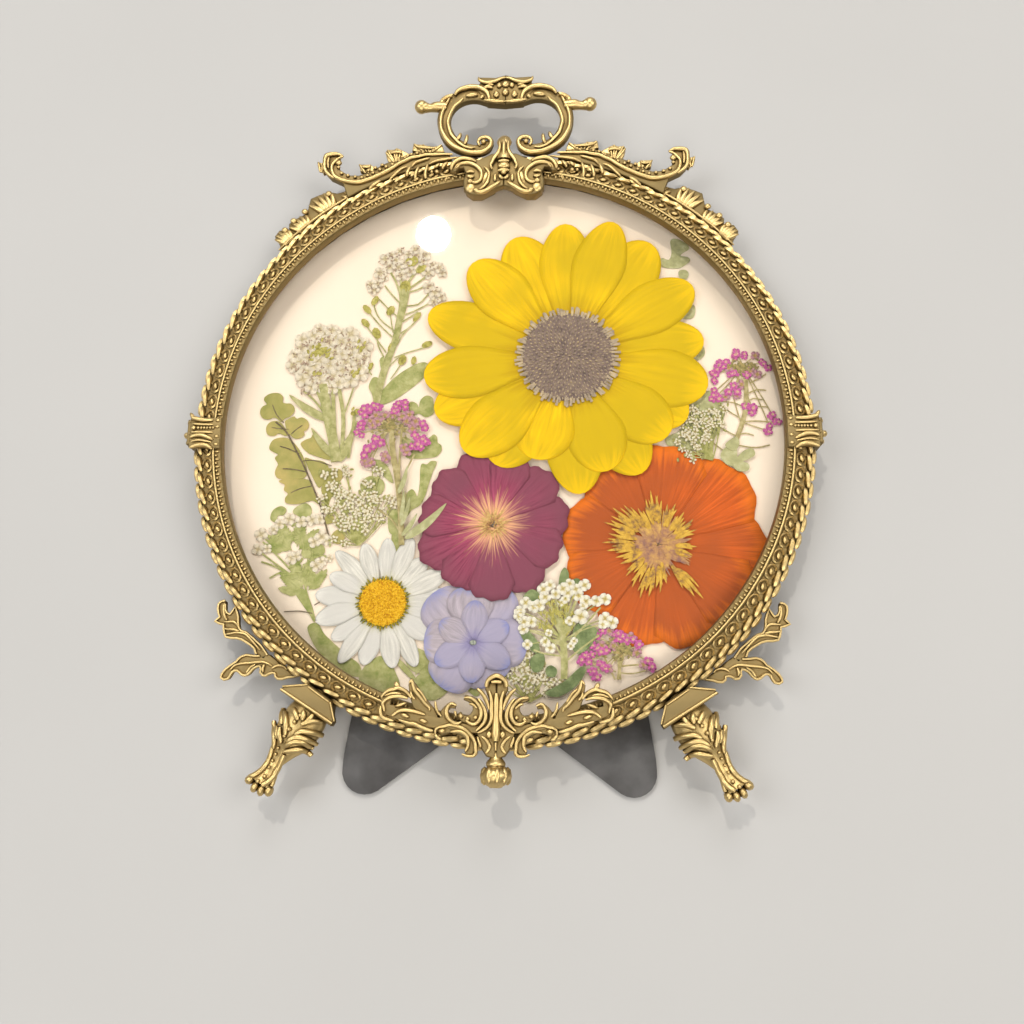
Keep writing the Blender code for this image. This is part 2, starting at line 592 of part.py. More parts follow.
def sprig(name, level, finish, stems, heads):
    """Stems of (points, width) joined to flat heads of (x, y, length, width, turn, sides)."""
    low, high = layer(level)
    middle = (low + high) / 2
    pieces = [prism(blob(*head), low, high) for head in heads]
    pieces += [prism(stroke(points, width), middle - 0.08, middle + 0.08) for points, width in stems]
    add_pressed(name, combine(pieces), finish)


def make_left_sprigs():
    sprig("white_sprig_top", 0, CREAM,
          [([(-35.9, 11), (-33.2, 28), (-29.4, 44), (-27.5, 52)], 1.5),
           ([(-33.5, 27), (-39.6, 40)], 0.7), ([(-33.6, 26), (-22.2, 28.5)], 0.7),
           ([(-31.0, 36), (-24.0, 43)], 0.7)],
          [(-28.2, 53.8, 24, 13, 5, 10), (-39.4, 40.4, 5, 3.2, 60, 6), (-38.6, 33.6, 5, 3.6, 70, 6),
           (-22.0, 28.4, 4.4, 2.8, 20, 6), (-23.6, 43.4, 8, 6, 40, 7), (-37.2, 46.4, 7.5, 5.5, 120, 7)])
    sprig("white_cluster_left", 1, CREAM,
          [([(-50.2, 20), (-50.4, 10), (-48.3, 0)], 1.4)], [(-50.6, 24.4, 21.5, 20.5, 0, 10)])
    sprig("pink_cluster_left", 2, PINK,
          [([(-31.0, 0), (-30.0, -14), (-28.6, -27)], 1.1)], [(-30.6, 3.6, 20.5, 19, 0, 10)])
    sprig("fern_left", 0, GREEN,
          [([(-63.2, 5), (-61.2, -2), (-57.0, -9), (-53.4, -17), (-51.6, -21)], 1.0)],
          [(-64.6, 9.0, 7.5, 5.5, 70, 7), (-65.4, 2.6, 8.5, 5.8, 20, 7), (-58.4, 3.4, 9, 5.4, 30, 7),
           (-61.0, -4.6, 8.5, 6.0, 0, 7), (-58.2, -10.4, 8.5, 5.6, -10, 7), (-54.6, -16.6, 8, 5.2, -10, 7)])
    sprig("lace_left", 1, CREAM,
          [([(-31.0, -17), (-27.6, -24)], 1.0)], [(-39.4, -16.8, 21, 17, 10, 10)])
    sprig("lobed_leaves", 0, GREEN,
          [([(-29.0, 13), (-25.6, 4), (-24.0, -8), (-24.6, -19)], 1.2)],
          [(-28.4, 13.6, 15, 9, 60, 7), (-22.4, 9.4, 9, 6.5, 30, 7), (-20.6, -2.6, 9, 6.5, -10, 7),
           (-21.6, -11.4, 9.5, 7, -30, 7), (-25.2, -18.2, 9.5, 6, 60, 7)])
    sprig("leafy_sprig_left", 0, GREEN,
          [([(-57.6, -24), (-55.4, -36), (-50.6, -47), (-48.6, -53.5)], 1.1)],
          [(-60.4, -25.4, 13, 8, 30, 7), (-52.6, -30.4, 12, 7, 40, 7), (-56.4, -38.6, 12, 7.5, -30, 7),
           (-49.0, -41.6, 10, 6, 50, 7), (-50.8, -50.4, 11, 7, -50, 7)])
    sprig("leaves_below_daisy", 0, GREEN,
          [([(-43.0, -59), (-34.0, -61.6), (-20.0, -62.4)], 1.1)],
          [(-40.4, -60.4, 11, 7, -35, 7), (-34.4, -64.0, 14, 8, -15, 7), (-25.6, -63.4, 13, 7.5, 20, 7),
           (-19.0, -63.4, 11, 8, 50, 7)])
    sprig("slender_leaf", 4, GREEN, [([(-26.4, -29.0), (-21.5, -24.0), (-17.6, -20.0)], 0.8)],
          [(-20.4, -23.2, 12.5, 3.2, 46, 7)])


def make_right_sprigs():
    sprig("white_cluster_right", 3, CREAM,
          [([(16.9, -66), (15.6, -57), (14.2, -47)], 1.3), ([(16.0, -58), (27.0, -48)], 0.8),
           ([(15.6, -56), (7.0, -50)], 0.8)],
          [(15.2, -44.6, 12, 7, 0, 8), (24.4, -43.6, 9.5, 7, -30, 7), (27.6, -49.6, 7, 6, 0, 7),
           (7.6, -48.6, 9.5, 8.5, 0, 7), (18.6, -50.8, 9, 6.5, 0, 7)])
    sprig("lace_below", 1, CREAM, [([(9.4, -61), (14.0, -70)], 0.9)], [(7.8, -63.0, 15.5, 11, -10, 10)])
    sprig("pink_cluster_below", 2, PINK,
          [([(29.0, -59), (26.0, -68)], 1.0)],
          [(28.6, -56.6, 16.5, 11, 0, 10), (37.6, -59.6, 7.5, 5.4, -30, 7)])
    sprig("lace_right", 2, CREAM, [([(56.0, 2), (60.0, -7)], 0.9)], [(55.0, 3.4, 15.5, 14, 0, 10)])
    sprig("pink_cluster_right", 0, PINK,
          [([(66.4, 16), (65.0, 6), (63.6, -4)], 1.0), ([(64.6, 4), (73.4, 4.4)], 0.7)],
          [(66.4, 19.0, 16.5, 12.5, -10, 10), (73.6, 4.2, 4.2, 4.2, 0, 7), (65.0, -6.0, 7.5, 4.6, 60, 7)])
    sprig("fern_right", 0, GREEN,
          [([(50.0, 56), (52.6, 44), (55.0, 29)], 1.0)],
          [(49.6, 56.6, 7.5, 5.6, 80, 7), (51.2, 51.0, 9.5, 7, 10, 7), (54.4, 41.6, 9, 6.5, -20, 7),
           (55.8, 31.0, 9, 6.5, -40, 7)])


make_ring()
make_picture_stack()
make_clips()
make_easel()
make_hinge()
make_handle()
make_clasp()
make_crest_arm()
make_shoulder_leaf()
make_side_band()
make_acanthus()
make_leg()
make_bottom_crest()
make_flower_heads()
make_left_sprigs()
make_right_sprigs()
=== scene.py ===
"""Antique brass easel frame around a glazed picture of pressed flowers: its finished surfaces.

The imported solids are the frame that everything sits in. Shapes below are in millimetres and are turned
into metres as they are made: +X right, +Y towards the handle, +Z out of the front.
"""
import math
import random

import bmesh
import bpy
from mathutils import Matrix, Vector


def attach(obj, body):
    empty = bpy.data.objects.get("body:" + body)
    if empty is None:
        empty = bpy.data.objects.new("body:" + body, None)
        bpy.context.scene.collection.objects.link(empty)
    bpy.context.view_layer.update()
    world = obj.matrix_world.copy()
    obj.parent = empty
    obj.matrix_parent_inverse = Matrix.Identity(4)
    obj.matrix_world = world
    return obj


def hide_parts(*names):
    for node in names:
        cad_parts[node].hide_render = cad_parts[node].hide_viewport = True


bl_info = {
    "name": "Pressed Flower Frame",
    "version": (1, 0, 0),
    "blender": (4, 5, 0),
    "location": "View3D > Sidebar > Flower Frame",
    "description": "Builds a cast brass easel frame with a glazed picture of pressed flowers",
    "category": "Object",
}

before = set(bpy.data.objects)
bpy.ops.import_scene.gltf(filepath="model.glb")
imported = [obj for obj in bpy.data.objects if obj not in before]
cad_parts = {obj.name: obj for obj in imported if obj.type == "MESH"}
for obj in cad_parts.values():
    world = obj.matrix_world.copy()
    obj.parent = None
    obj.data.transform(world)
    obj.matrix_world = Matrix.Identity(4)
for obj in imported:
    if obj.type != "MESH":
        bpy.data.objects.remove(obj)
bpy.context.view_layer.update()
MM = 0.001
UP = Vector((0, 0, 1))
PLAN_SCALE, PLAN_SHIFT = 0.9865, (0.2, -1.16)   # fits the drawn plan of castings and flowers to the ring
RIDGE_WEIGHT = 1.4                              # how heavy the ridges of the castings are
TIP_CROWD = 1.7                                 # how closely a petal's rows crowd towards its tip
HEAD_ON = 0.0255                                # share of light that a face of the glass mirrors head on
GOLDEN_TURN = 137.508                           # degrees between florets that follow each other on a disc
SHEET_RADIUS = 78.4                             # petals reach no further than this, under the ring
LEG_X, LEG_Y, LEG_START = -0.5395, -0.8420, 1.18   # where the left leg points, and where its line starts in Y


# ---- properties ----
def tint(red, green, blue):
    """A colour as a painter would read it, 0 to 255, as the linear values that the nodes use."""
    return tuple(round((part / 255) ** 2.2, 4) for part in (red, green, blue))


def colour(name, value, description):
    return bpy.props.FloatVectorProperty(name=name, description=description, subtype="COLOR", size=3,
                                         min=0, max=1, default=value)


class FrameSizes(bpy.types.PropertyGroup):
    """Sizes of the cast frame."""
    ring_units: bpy.props.IntProperty(
        name="Ring Berries", description="How many berries stand along the ring's moulding",
        default=110, min=40, max=200)
    milled_teeth: bpy.props.IntProperty(
        name="Milled Teeth", description="How many teeth edge the opening", default=228, min=100, max=500)
    opening_radius: bpy.props.FloatProperty(
        name="Opening Radius", description="Radius of the clear opening", default=0.07615,
        subtype="DISTANCE", unit="LENGTH")
    petal_thickness: bpy.props.FloatProperty(
        name="Petal Thickness", description="Thickness of a pressed petal", default=0.00006,
        subtype="DISTANCE", unit="LENGTH")


class FrameColours(bpy.types.PropertyGroup):
    """Colours of the metal, the card and the back."""
    brass: colour("Brass", tint(206, 178, 120), "Worn brass on the raised forms")
    patina: colour("Patina", tint(146, 119, 72), "Brown patina between the raised forms")
    # grime_and_painted_shade is the colour where ambient occlusion is lowest: painted shade in the recesses,
    # with real grime
    grime_and_painted_shade: colour("Grime and Painted Shade", tint(48, 39, 21), "Dark grime in the recesses")
    card: colour("Card", tint(251, 232, 208), "The mounting card")
    steel: colour("Easel Steel", tint(66, 63, 61), "The easel, the hinge and the clips")
    board: colour("Back Board", tint(38, 37, 38), "The board behind the picture")


class FlowerColours(bpy.types.PropertyGroup):
    """Colours of the pressed flowers."""
    yellow: colour("Yellow", tint(246, 198, 12), "Petals of the large yellow flower")
    brown: colour("Brown", tint(176, 158, 134), "Disc of the large yellow flower")
    burgundy: colour("Burgundy", tint(170, 77, 105), "Petals of the burgundy bloom")
    orange: colour("Orange", tint(218, 101, 38), "Petals of the orange flower")
    white: colour("White", tint(221, 217, 206), "Rays of the white daisy")
    gold: colour("Gold", tint(229, 182, 26), "Disc of the white daisy")
    lavender: colour("Lavender", tint(213, 201, 210), "The lavender floret")
    green: colour("Green", tint(166, 166, 106), "Fresh green leaves")
    sage: colour("Sage", tint(176, 174, 124), "Faded leaves and stems")
    pink: colour("Pink", tint(208, 104, 166), "Pink blossoms")
    cream: colour("Cream", tint(234, 221, 196), "Cream blossoms")


class StageLooks(bpy.types.PropertyGroup):
    """Backdrop and light."""
    backdrop: colour("Backdrop", tint(176, 174, 171), "The plain surface that the frame lies on")
    lamp: bpy.props.FloatProperty(name="Lamp", description="Power of the key lamp", default=6.5,
                                  min=0, subtype="POWER", unit="POWER")
    fill: bpy.props.FloatProperty(name="Fill", description="Power of each soft box", default=8.2,
                                  min=0, subtype="POWER", unit="POWER")


# ---- materials ----
class Finish:
    """A material and short calls for the nodes in it."""

    def __init__(self, name, **sockets):
        self.material = bpy.data.materials.new(name)
        self.material.use_nodes = True
        self.tree = self.material.node_tree
        self.shader = self.tree.nodes["Principled BSDF"]
        self.fill(self.shader, sockets)

    def plug(self, socket, value):
        """Links a socket to another node's output, or sets its value."""
        if isinstance(value, bpy.types.NodeSocket):
            self.tree.links.new(value, socket)
        else:
            socket.default_value = value

    def fill(self, node, sockets):
        """Links or sets sockets by name, with _ for a space."""
        for label, value in sockets.items():
            self.plug(node.inputs[label.replace("_", " ")], value)

    def add(self, kind, setup=None, output=0, **sockets):
        node = self.tree.nodes.new("ShaderNode" + kind)
        for label, value in (setup or {}).items():
            setattr(node, label, value)
        self.fill(node, sockets)
        return node.outputs[output]

    def place(self, scale=(1, 1, 1)):
        """Object coordinates in millimetres, stretched by scale."""
        coordinates = self.add("TexCoord", output=3)
        return self.add("Mapping", Vector=coordinates, Scale=[1000 * part for part in scale])

    def noise(self, scale, detail=3, rough=0.5, vector=None):
        return self.add("TexNoise", Vector=vector or self.place(), Scale=scale, Detail=detail,
                        Roughness=rough)

    def sum(self, a, b, operation="ADD"):
        """The sum of two values, or what another operation makes of them."""
        node = self.tree.nodes.new("ShaderNodeMath")
        node.operation = operation
        for socket, value in zip(node.inputs, (a, b)):
            self.plug(socket, value)
        return node.outputs[0]

    def ramp(self, factor, *stops):
        """A colour band of (position, colour) stops."""
        node = self.tree.nodes.new("ShaderNodeValToRGB")
        self.tree.links.new(factor, node.inputs[0])
        band = node.color_ramp.elements
        while len(band) < len(stops):
            band.new(0.5)
        for element, (position, value) in zip(band, stops):
            element.position = position
            element.color = (*value, 1) if isinstance(value, tuple) else (value, value, value, 1)
        return node.outputs[0]

    def mix(self, factor, a, b, blend="MIX"):
        node = self.tree.nodes.new("ShaderNodeMix")
        node.data_type, node.blend_type = "RGBA", blend
        for index, value in ((0, factor), (6, a), (7, b)):
            self.plug(node.inputs[index], (*value, 1) if isinstance(value, tuple) else value)
        return node.outputs[2]

    def relief(self, height, strength, distance):
        """Bump of the given depth in millimetres."""
        self.fill(self.shader, {"Normal": self.add("Bump", Height=height, Strength=strength,
                                                   Distance=distance * MM)})


def lighter(value, share):
    """A colour moved towards white by share, or towards black where share is below zero."""
    goal = 1.0 if share > 0 else 0.0
    return tuple(part + (goal - part) * abs(share) for part in value)


def richer(value, share):
    """A colour made brighter by share, its hue kept."""
    return tuple(min(1.0, part * (1 + share)) for part in value)


def brass_finish(name="antique_brass", shade=0.0):
    """Cast brass toned by ambient occlusion with noise. Metal where the forms stand open is brightest, brown
    patina lies between them, and painted shading with dirt darkens the recesses. The darker, rougher copy
    paints shading with patina on the grounds.
    """
    looks = bpy.context.scene.frame_colours
    finish = Finish(name, Metallic=0.9)
    # Ambient occlusion drives the colour below: painted shade darkens the recesses and patina fills the
    # hollows
    open_sky = finish.add("AmbientOcclusion", {"samples": 5}, output=1, Distance=1.6 * MM)
    blotch = finish.noise(0.35, 4, 0.6)
    grain = finish.noise(4.0, 3, 0.6)
    # exposure_and_wear: ambient occlusion for the painted shade, with blotches and grain for wear
    exposure_and_wear = finish.sum(finish.sum(open_sky, finish.sum(blotch, 0.3, "MULTIPLY")),
                      finish.sum(grain, 0.14, "MULTIPLY"))
    # shade darkens and roughens this copy for the grounds between the ridges: painted shade together with
    # their patina
    bright = lighter(looks.brass, -shade)
    base = finish.ramp(exposure_and_wear, (0.45, tuple(looks.grime_and_painted_shade)), (0.8, tuple(looks.patina)), (1.0, bright))
    rough = finish.ramp(exposure_and_wear, (0.4, 0.62), (0.8, 0.4 + 0.2 * shade), (1.0, 0.32 + 0.3 * shade))
    finish.fill(finish.shader, {"Base Color": base, "Roughness": rough})
    finish.relief(finish.sum(grain, finish.noise(14.0, 2), "MULTIPLY"), 0.35, 0.12)
    return finish.material


def petal_finish(name, base, heart, edge, veins=16.0, contrast=0.35, heart_to=0.25, bump=0.03,
                 rough=0.6, sheer=0.0, other=None, ragged=0.5, edge_from=0.8, fade=None):
    """A pressed petal. Its map runs from 0 at the heart to 1 at the tip, and across with the petal's number.
    Where fade gives two places along X, in millimetres, the other tone takes over from one to the other."""
    finish = Finish(name, Roughness=rough)
    finish.shader.inputs["Specular IOR Level"].default_value = 0.12
    split = finish.tree.nodes.new("ShaderNodeSeparateXYZ")
    finish.tree.links.new(finish.add("UVMap"), split.inputs[0])
    along, across = split.outputs[0], split.outputs[1]
    streaks = finish.add("CombineXYZ", X=finish.sum(along, 1.6, "MULTIPLY"),
                         Y=finish.sum(across, veins, "MULTIPLY"))
    vein = finish.noise(1.0, 4, 0.6, streaks)
    blotch = finish.noise(0.16, 4, 0.6)
    reach = finish.sum(along, finish.sum(finish.sum(vein, 0.5, "SUBTRACT"), ragged, "MULTIPLY"))
    body = finish.mix(finish.ramp(vein, (0.36, 0.0), (0.66, 1.0)), lighter(base, -contrast),
                      richer(base, contrast * 0.5))
    body = finish.mix(finish.ramp(blotch, (0.35, 0.0), (0.7, contrast)), body, lighter(base, -0.3))
    petal = finish.add("CombineXYZ", X=finish.sum(finish.sum(across, 0.0, "FLOOR"), 7.7, "MULTIPLY"))
    tone = finish.sum(finish.sum(finish.noise(1.0, 0, 0.5, petal), finish.noise(0.06, 2)), 0.5, "MULTIPLY")
    body = finish.mix(finish.ramp(tone, (0.44, 0.0), (0.56, 0.85)), body, other or lighter(base, -0.15))
    if fade:
        near, far = fade
        side = finish.tree.nodes.new("ShaderNodeSeparateXYZ")
        finish.tree.links.new(finish.place(), side.inputs[0])
        share = finish.sum(finish.sum(side.outputs[0], near, "SUBTRACT"), far - near, "DIVIDE")
        body = finish.mix(finish.ramp(share, (0.0, 0.0), (1.0, 0.85)), body, other)
    body = finish.mix(finish.ramp(reach, (heart_to * 0.4, 1.0), (heart_to * 1.6, 0.0)), body, heart)
    body = finish.mix(finish.ramp(reach, (edge_from, 0.0), (1.02, 0.8)), body, edge)
    finish.fill(finish.shader, {"Base Color": body})
    finish.shader.inputs["Alpha"].default_value = 1.0 - sheer
    finish.relief(finish.sum(vein, finish.noise(6.0, 2), "ADD"), 0.5, bump)
    return finish.material


def plant_finish(name, base, dark, pale, scale=1.2, rough=0.75, bump=0.05):
    """A dried leaf, stem or blossom: mottled between three tones, with a fine papery relief."""
    finish = Finish(name, Roughness=rough)
    finish.shader.inputs["Specular IOR Level"].default_value = 0.2
    mottle = finish.noise(scale, 5, 0.65)
    tone = finish.ramp(mottle, (0.32, dark), (0.5, base), (0.68, pale))
    finish.fill(finish.shader, {"Base Color": tone})
    finish.relief(finish.noise(7.0, 3), 0.5, bump)
    return finish.material


def glass_finish():
    """Clear glass that mirrors more as it is seen at a slant, the same from both sides of each face."""
    finish = Finish("clear_glass", Roughness=0.02)
    clear = finish.tree.nodes.new("ShaderNodeBsdfTransparent")
    clear.inputs["Color"].default_value = (0.962, 0.959, 0.953, 1)
    gloss = finish.tree.nodes.new("ShaderNodeBsdfGlossy")
    gloss.inputs["Roughness"].default_value = 0.015
    both = finish.tree.nodes.new("ShaderNodeMixShader")
    slant = finish.sum(finish.add("LayerWeight", output=1, Blend=0.5), 5.0, "POWER")
    mirror = finish.sum(finish.sum(slant, 1.0 - HEAD_ON, "MULTIPLY"), HEAD_ON)
    finish.tree.links.new(mirror, both.inputs[0])
    finish.tree.links.new(clear.outputs[0], both.inputs[1])
    finish.tree.links.new(gloss.outputs[0], both.inputs[2])
    finish.tree.links.new(both.outputs[0], finish.tree.nodes["Material Output"].inputs[0])
    finish.tree.nodes.remove(finish.shader)
    return finish.material


# ---- shapes ----
def new_shape():
    shape = bmesh.new()
    shape.loops.layers.uv.new("UVMap")
    return shape


def smooth(points, steps=4, closed=False):
    """A soft curve through points that may carry more numbers, such as a radius."""
    ends = [points[-1], *points, *points[:2]] if closed else [points[0], *points, points[-1]]
    curve = []
    for a, b, c, d in zip(ends, ends[1:], ends[2:], ends[3:]):
        for i in range(steps):
            t = i / steps
            curve.append(tuple(0.5 * (2 * q + (r - p) * t + (2 * p - 5 * q + 4 * r - s) * t * t
                                      + (3 * q - p - 3 * r + s) * t ** 3)
                               for p, q, r, s in zip(a, b, c, d)))
    return curve if closed else curve + [tuple(points[-1])]


def ring_spot(radius, degrees, centre=(0, 0)):
    """The spot at a radius and an angle from a centre."""
    turn = math.radians(degrees)
    return centre[0] + radius * math.cos(turn), centre[1] + radius * math.sin(turn)


def disc_spots(count, radius):
    """Spots that fill a disc as florets do, each as (x, y, reach, degrees)."""
    for number in range(count):
        reach, turn = radius * math.sqrt((number + 0.5) / count), number * GOLDEN_TURN
        yield (*ring_spot(reach, turn), reach, turn)


def add_bar(shape, points, sides=8, flat=1.0):
    """A bar through (x, y, z, radius) points, closed at both ends."""
    steps = []
    for i, (x, y, z, radius) in enumerate(points):
        before, after = points[max(i - 1, 0)], points[min(i + 1, len(points) - 1)]
        along = (Vector(after[:3]) - Vector(before[:3])).normalized()
        side = along.cross(UP)
        side = side.normalized() if side.length > 1e-4 else Vector((1, 0, 0))
        turn = Matrix((side, side.cross(along), along)).transposed().to_4x4()
        size = Matrix.Diagonal((radius * MM, radius * flat * MM, MM, 1))
        steps.append(Matrix.Translation(Vector((x, y, z)) * MM) @ turn @ size)
    rim = bmesh.ops.create_circle(shape, cap_ends=True, segments=sides, radius=1, matrix=steps[0])["verts"]
    edges = list({edge for corner in rim for edge in corner.link_edges})
    for old, new in zip(steps, steps[1:]):
        made = bmesh.ops.extrude_edge_only(shape, edges=edges)["geom"]
        rim = {item for item in made if isinstance(item, bmesh.types.BMVert)}
        edges = [item for item in made if isinstance(item, bmesh.types.BMEdge) and set(item.verts) <= rim]
        bmesh.ops.transform(shape, matrix=new @ old.inverted(), verts=list(rim))
    bmesh.ops.edgeloop_fill(shape, edges=edges)


def add_rods(shape, rods, sides=8):
    """Rods through (x, y, z, radius) points, closed at both ends, all made from one curve."""
    curve = bpy.data.curves.new("rods", "CURVE")
    curve.dimensions = "3D"
    curve.bevel_depth = MM
    curve.bevel_resolution = sides // 2 - 2
    curve.use_fill_caps = True
    for points in rods:
        line = curve.splines.new("POLY")
        line.points.add(len(points) - 1)
        for point, (x, y, z, radius) in zip(line.points, points):
            point.co, point.radius = (x * MM, y * MM, z * MM, 1), radius
    item = bpy.data.objects.new("rods", curve)
    bpy.context.scene.collection.objects.link(item)
    bpy.context.view_layer.update()
    made = bmesh.new()
    made.from_mesh(item.evaluated_get(bpy.context.evaluated_depsgraph_get()).to_mesh())
    bmesh.ops.remove_doubles(made, verts=made.verts, dist=1e-7)
    mesh = bpy.data.meshes.new("rods")
    made.to_mesh(mesh)
    made.free()
    bpy.data.objects.remove(item, do_unlink=True)
    shape.from_mesh(mesh)
    bpy.data.meshes.remove(mesh)


def ridge(points, z, radius, ends=0.4):
    """A soft line through (x, y) points as (x, y, z, radius), thinner towards its ends."""
    radius *= RIDGE_WEIGHT
    line = smooth(points, 3)
    share = [math.sin(math.pi * i / (len(line) - 1)) ** 0.6 for i in range(len(line) - 1)] + [0.0]
    return [(x, y, z, radius * (ends + (1 - ends) * part)) for (x, y), part in zip(line, share)]


def add_ridges(shape, z, radius, *lines, ends=0.4):
    add_rods(shape, [ridge(line, z, radius, ends) for line in lines])


def add_bead(shape, x, y, z, size, turn=0.0, tilt=0.0, segments=10, rings=6):
    """An egg of three half sizes, turned about Z and tilted about its own long axis, in degrees."""
    half = (size, size, size) if isinstance(size, (int, float)) else size
    place = (Matrix.Translation(Vector((x, y, z)) * MM) @ Matrix.Rotation(math.radians(turn), 4, "Z")
             @ Matrix.Rotation(math.radians(tilt), 4, "Y")
             @ Matrix.Diagonal([part * MM for part in half] + [1]))
    return bmesh.ops.create_uvsphere(shape, u_segments=segments, v_segments=rings, radius=1,
                                     matrix=place)["verts"]


def add_leaf(shape, root, tip, width, z, thick=0.9, rise=0.0, bend=0.0, groove=0.35, rings=9):
    """A cast leaf from root to tip with a vein down its middle; bend curves it to its left."""
    start, end = Vector((*root, 0)), Vector((*tip, 0))
    along = end - start
    side = Vector((-along.y, along.x, 0)).normalized()
    for corner in bmesh.ops.create_uvsphere(shape, u_segments=12, v_segments=rings, radius=1)["verts"]:
        t = (corner.co.z + 1) / 2
        turn = math.atan2(corner.co.y, corner.co.x)
        swell = math.sqrt(max(0.0, 1 - (2 * t - 1) ** 2)) * (1.25 - 0.75 * t)
        across = math.cos(turn)
        up = math.sin(turn) * (1 - groove * math.exp(-(across / 0.3) ** 2))
        place = (start + along * t + side * (across * swell * width / 2 + bend * math.sin(math.pi * t))
                 + UP * (z + rise * t * t + up * swell * thick))
        corner.co = place * MM


def add_ray(shape, centre, root, tip, width, z, thick, bend=0.0):
    """A narrow ray between two (reach, degrees) spots around a centre."""
    add_leaf(shape, ring_spot(*root, centre), ring_spot(*tip, centre), width, z, thick, 0.0, bend, rings=5)


def add_plate(shape, outline, low, high, bevel=0.3):
    """A flat piece with the given outline and rounded edges."""
    face = shape.faces.new([shape.verts.new((x * MM, y * MM, low * MM)) for x, y in outline])
    made = bmesh.ops.extrude_face_region(shape, geom=[face])["geom"]
    top = [item for item in made if isinstance(item, bmesh.types.BMVert)]
    bmesh.ops.translate(shape, vec=(0, 0, (high - low) * MM), verts=top)
    rims = [item for item in made if isinstance(item, bmesh.types.BMEdge)]
    bmesh.ops.bevel(shape, geom=rims, offset=bevel * MM, offset_type="OFFSET", segments=2, profile=0.5,
                    affect="EDGES", material=-1, clamp_overlap=True)


def mirror_across(*shapes):
    """Copies shapes drawn on one side to the other side of the frame."""
    for shape in shapes:
        everything = shape.verts[:] + shape.edges[:] + shape.faces[:]
        bmesh.ops.mirror(shape, geom=everything, axis="X", merge_dist=-1)


def add_band(shape, line, low, high, bevel=0.3):
    """A flat band along (x, y, half width) points."""
    left, right = [], []
    line = smooth(line, 3)
    for i, (x, y, half) in enumerate(line):
        before, after = line[max(i - 1, 0)], line[min(i + 1, len(line) - 1)]
        along = Vector((after[0] - before[0], after[1] - before[1])).normalized()
        left.append((x - along.y * half, y + along.x * half))
        right.append((x + along.y * half, y - along.x * half))
    add_plate(shape, left + right[::-1], low, high, bevel)


def map_petal(shape, number, spots):
    """Writes a petal's map from its (along, across) spots, its number added across."""
    layer = shape.loops.layers.uv.verify()
    for face in {face for corner in spots for face in corner.link_faces}:
        for loop in face.loops:
            along, across = spots[loop.vert]
            loop[layer].uv = (along, across * 0.96 + 0.02 + number)


def add_petal(shape, number, centre, turn, start, length, width, z, widest=0.6, point=2.0, foot=0.35,
              tilt=0.05, fold=0.025, bend=0.0, nick=0.0, rows=12, columns=6):
    """A flat petal from start to length along turn; point shapes its tip, and nick notches it."""
    corners = bmesh.ops.create_grid(shape, x_segments=rows, y_segments=columns, size=0.5)["verts"]
    spin = Matrix.Rotation(math.radians(turn), 3, "Z")
    spots = {}
    for corner in corners:
        t, across = 1 - (0.5 - corner.co.x) ** TIP_CROWD, corner.co.y * 2
        spots[corner] = (t, across / 2 + 0.5)
        if t < widest:
            share = t / widest
            half = foot + (1 - foot) * share * share * (3 - 2 * share)
        else:
            half = max(0.0, 1 - ((t - widest) / (1 - widest)) ** point) ** 0.5
        reach = start + (length - start) * t * (1 - nick * (1 - abs(across)) * t ** 6)
        wave = fold * math.sin(across * 7 + number * 2) * t + tilt * across
        spot = Vector((reach, across * half * width / 2 + bend * t * t, z + wave))
        corner.co = (spin @ spot + Vector((*centre, 0))) * MM
    map_petal(shape, number, spots)


def add_fan(shape, number, centre, turn, half_angle, start, length, z, shoulder=0.8, ripple=0.02,
            ripples=5, tilt=0.06, fold=0.04, rows=10, columns=14, roundness=2.6):
    """A broad petal or leaflet that fills a sector, with a rippled outer edge."""
    corners = bmesh.ops.create_grid(shape, x_segments=rows, y_segments=columns, size=0.5)["verts"]
    spots = {}
    for corner in corners:
        t, across = corner.co.x + 0.5, corner.co.y * 2
        spots[corner] = (t, across / 2 + 0.5)
        edge = shoulder + (1 - shoulder) * (1 - abs(across) ** roundness)
        edge *= (1 + ripple * math.sin(across * ripples + number * 2.3)
                 + ripple * math.sin(across * 11 + number))
        reach = start + (length * edge - start) * t
        angle = math.radians(turn + across * half_angle * (0.75 + 0.25 * min(1.0, 2 * t)))
        wave = fold * math.sin(across * 8 + number * 1.7) * t * (1.3 - t) + tilt * across
        spot = Vector((math.cos(angle) * reach + centre[0], math.sin(angle) * reach + centre[1], z + wave))
        corner.co = spot * MM
    map_petal(shape, number, spots)


def add_stem(shape, z, width, *line):
    """A thin pressed stem through (x, y) points."""
    add_bar(shape, smooth([(x, y, z, width / 2) for x, y in line], 3), 5, 0.35)


def add_leaf_cut(shape, z, *outline, thick=0.1):
    """A flat pressed leaf with a soft outline through the given points."""
    rim = [shape.verts.new((x * MM, y * MM, z * MM)) for x, y in smooth(outline, 4, closed=True)]
    made = bmesh.ops.extrude_face_region(shape, geom=[shape.faces.new(rim)])["geom"]
    top = [item for item in made if isinstance(item, bmesh.types.BMVert)]
    bmesh.ops.translate(shape, vec=(0, 0, thick * MM), verts=top)


def add_feather(shape, x, y, z, length, turn):
    """A finely cut leaflet: narrow lobes in pairs along a rib."""
    for step in range(7):
        reach, size = length * (0.12 + 0.13 * step), length * (0.42 - 0.035 * step)
        root = ring_spot(reach, turn, (x, y))
        for lean in (-38, 38) if step < 6 else (0,):
            add_leaf(shape, root, ring_spot(size, turn + lean, root), 1.15, z, 0.07, rings=5)
    add_leaf(shape, (x, y), ring_spot(length * 0.9, turn, (x, y)), 0.7, z + 0.03, 0.08, rings=5)


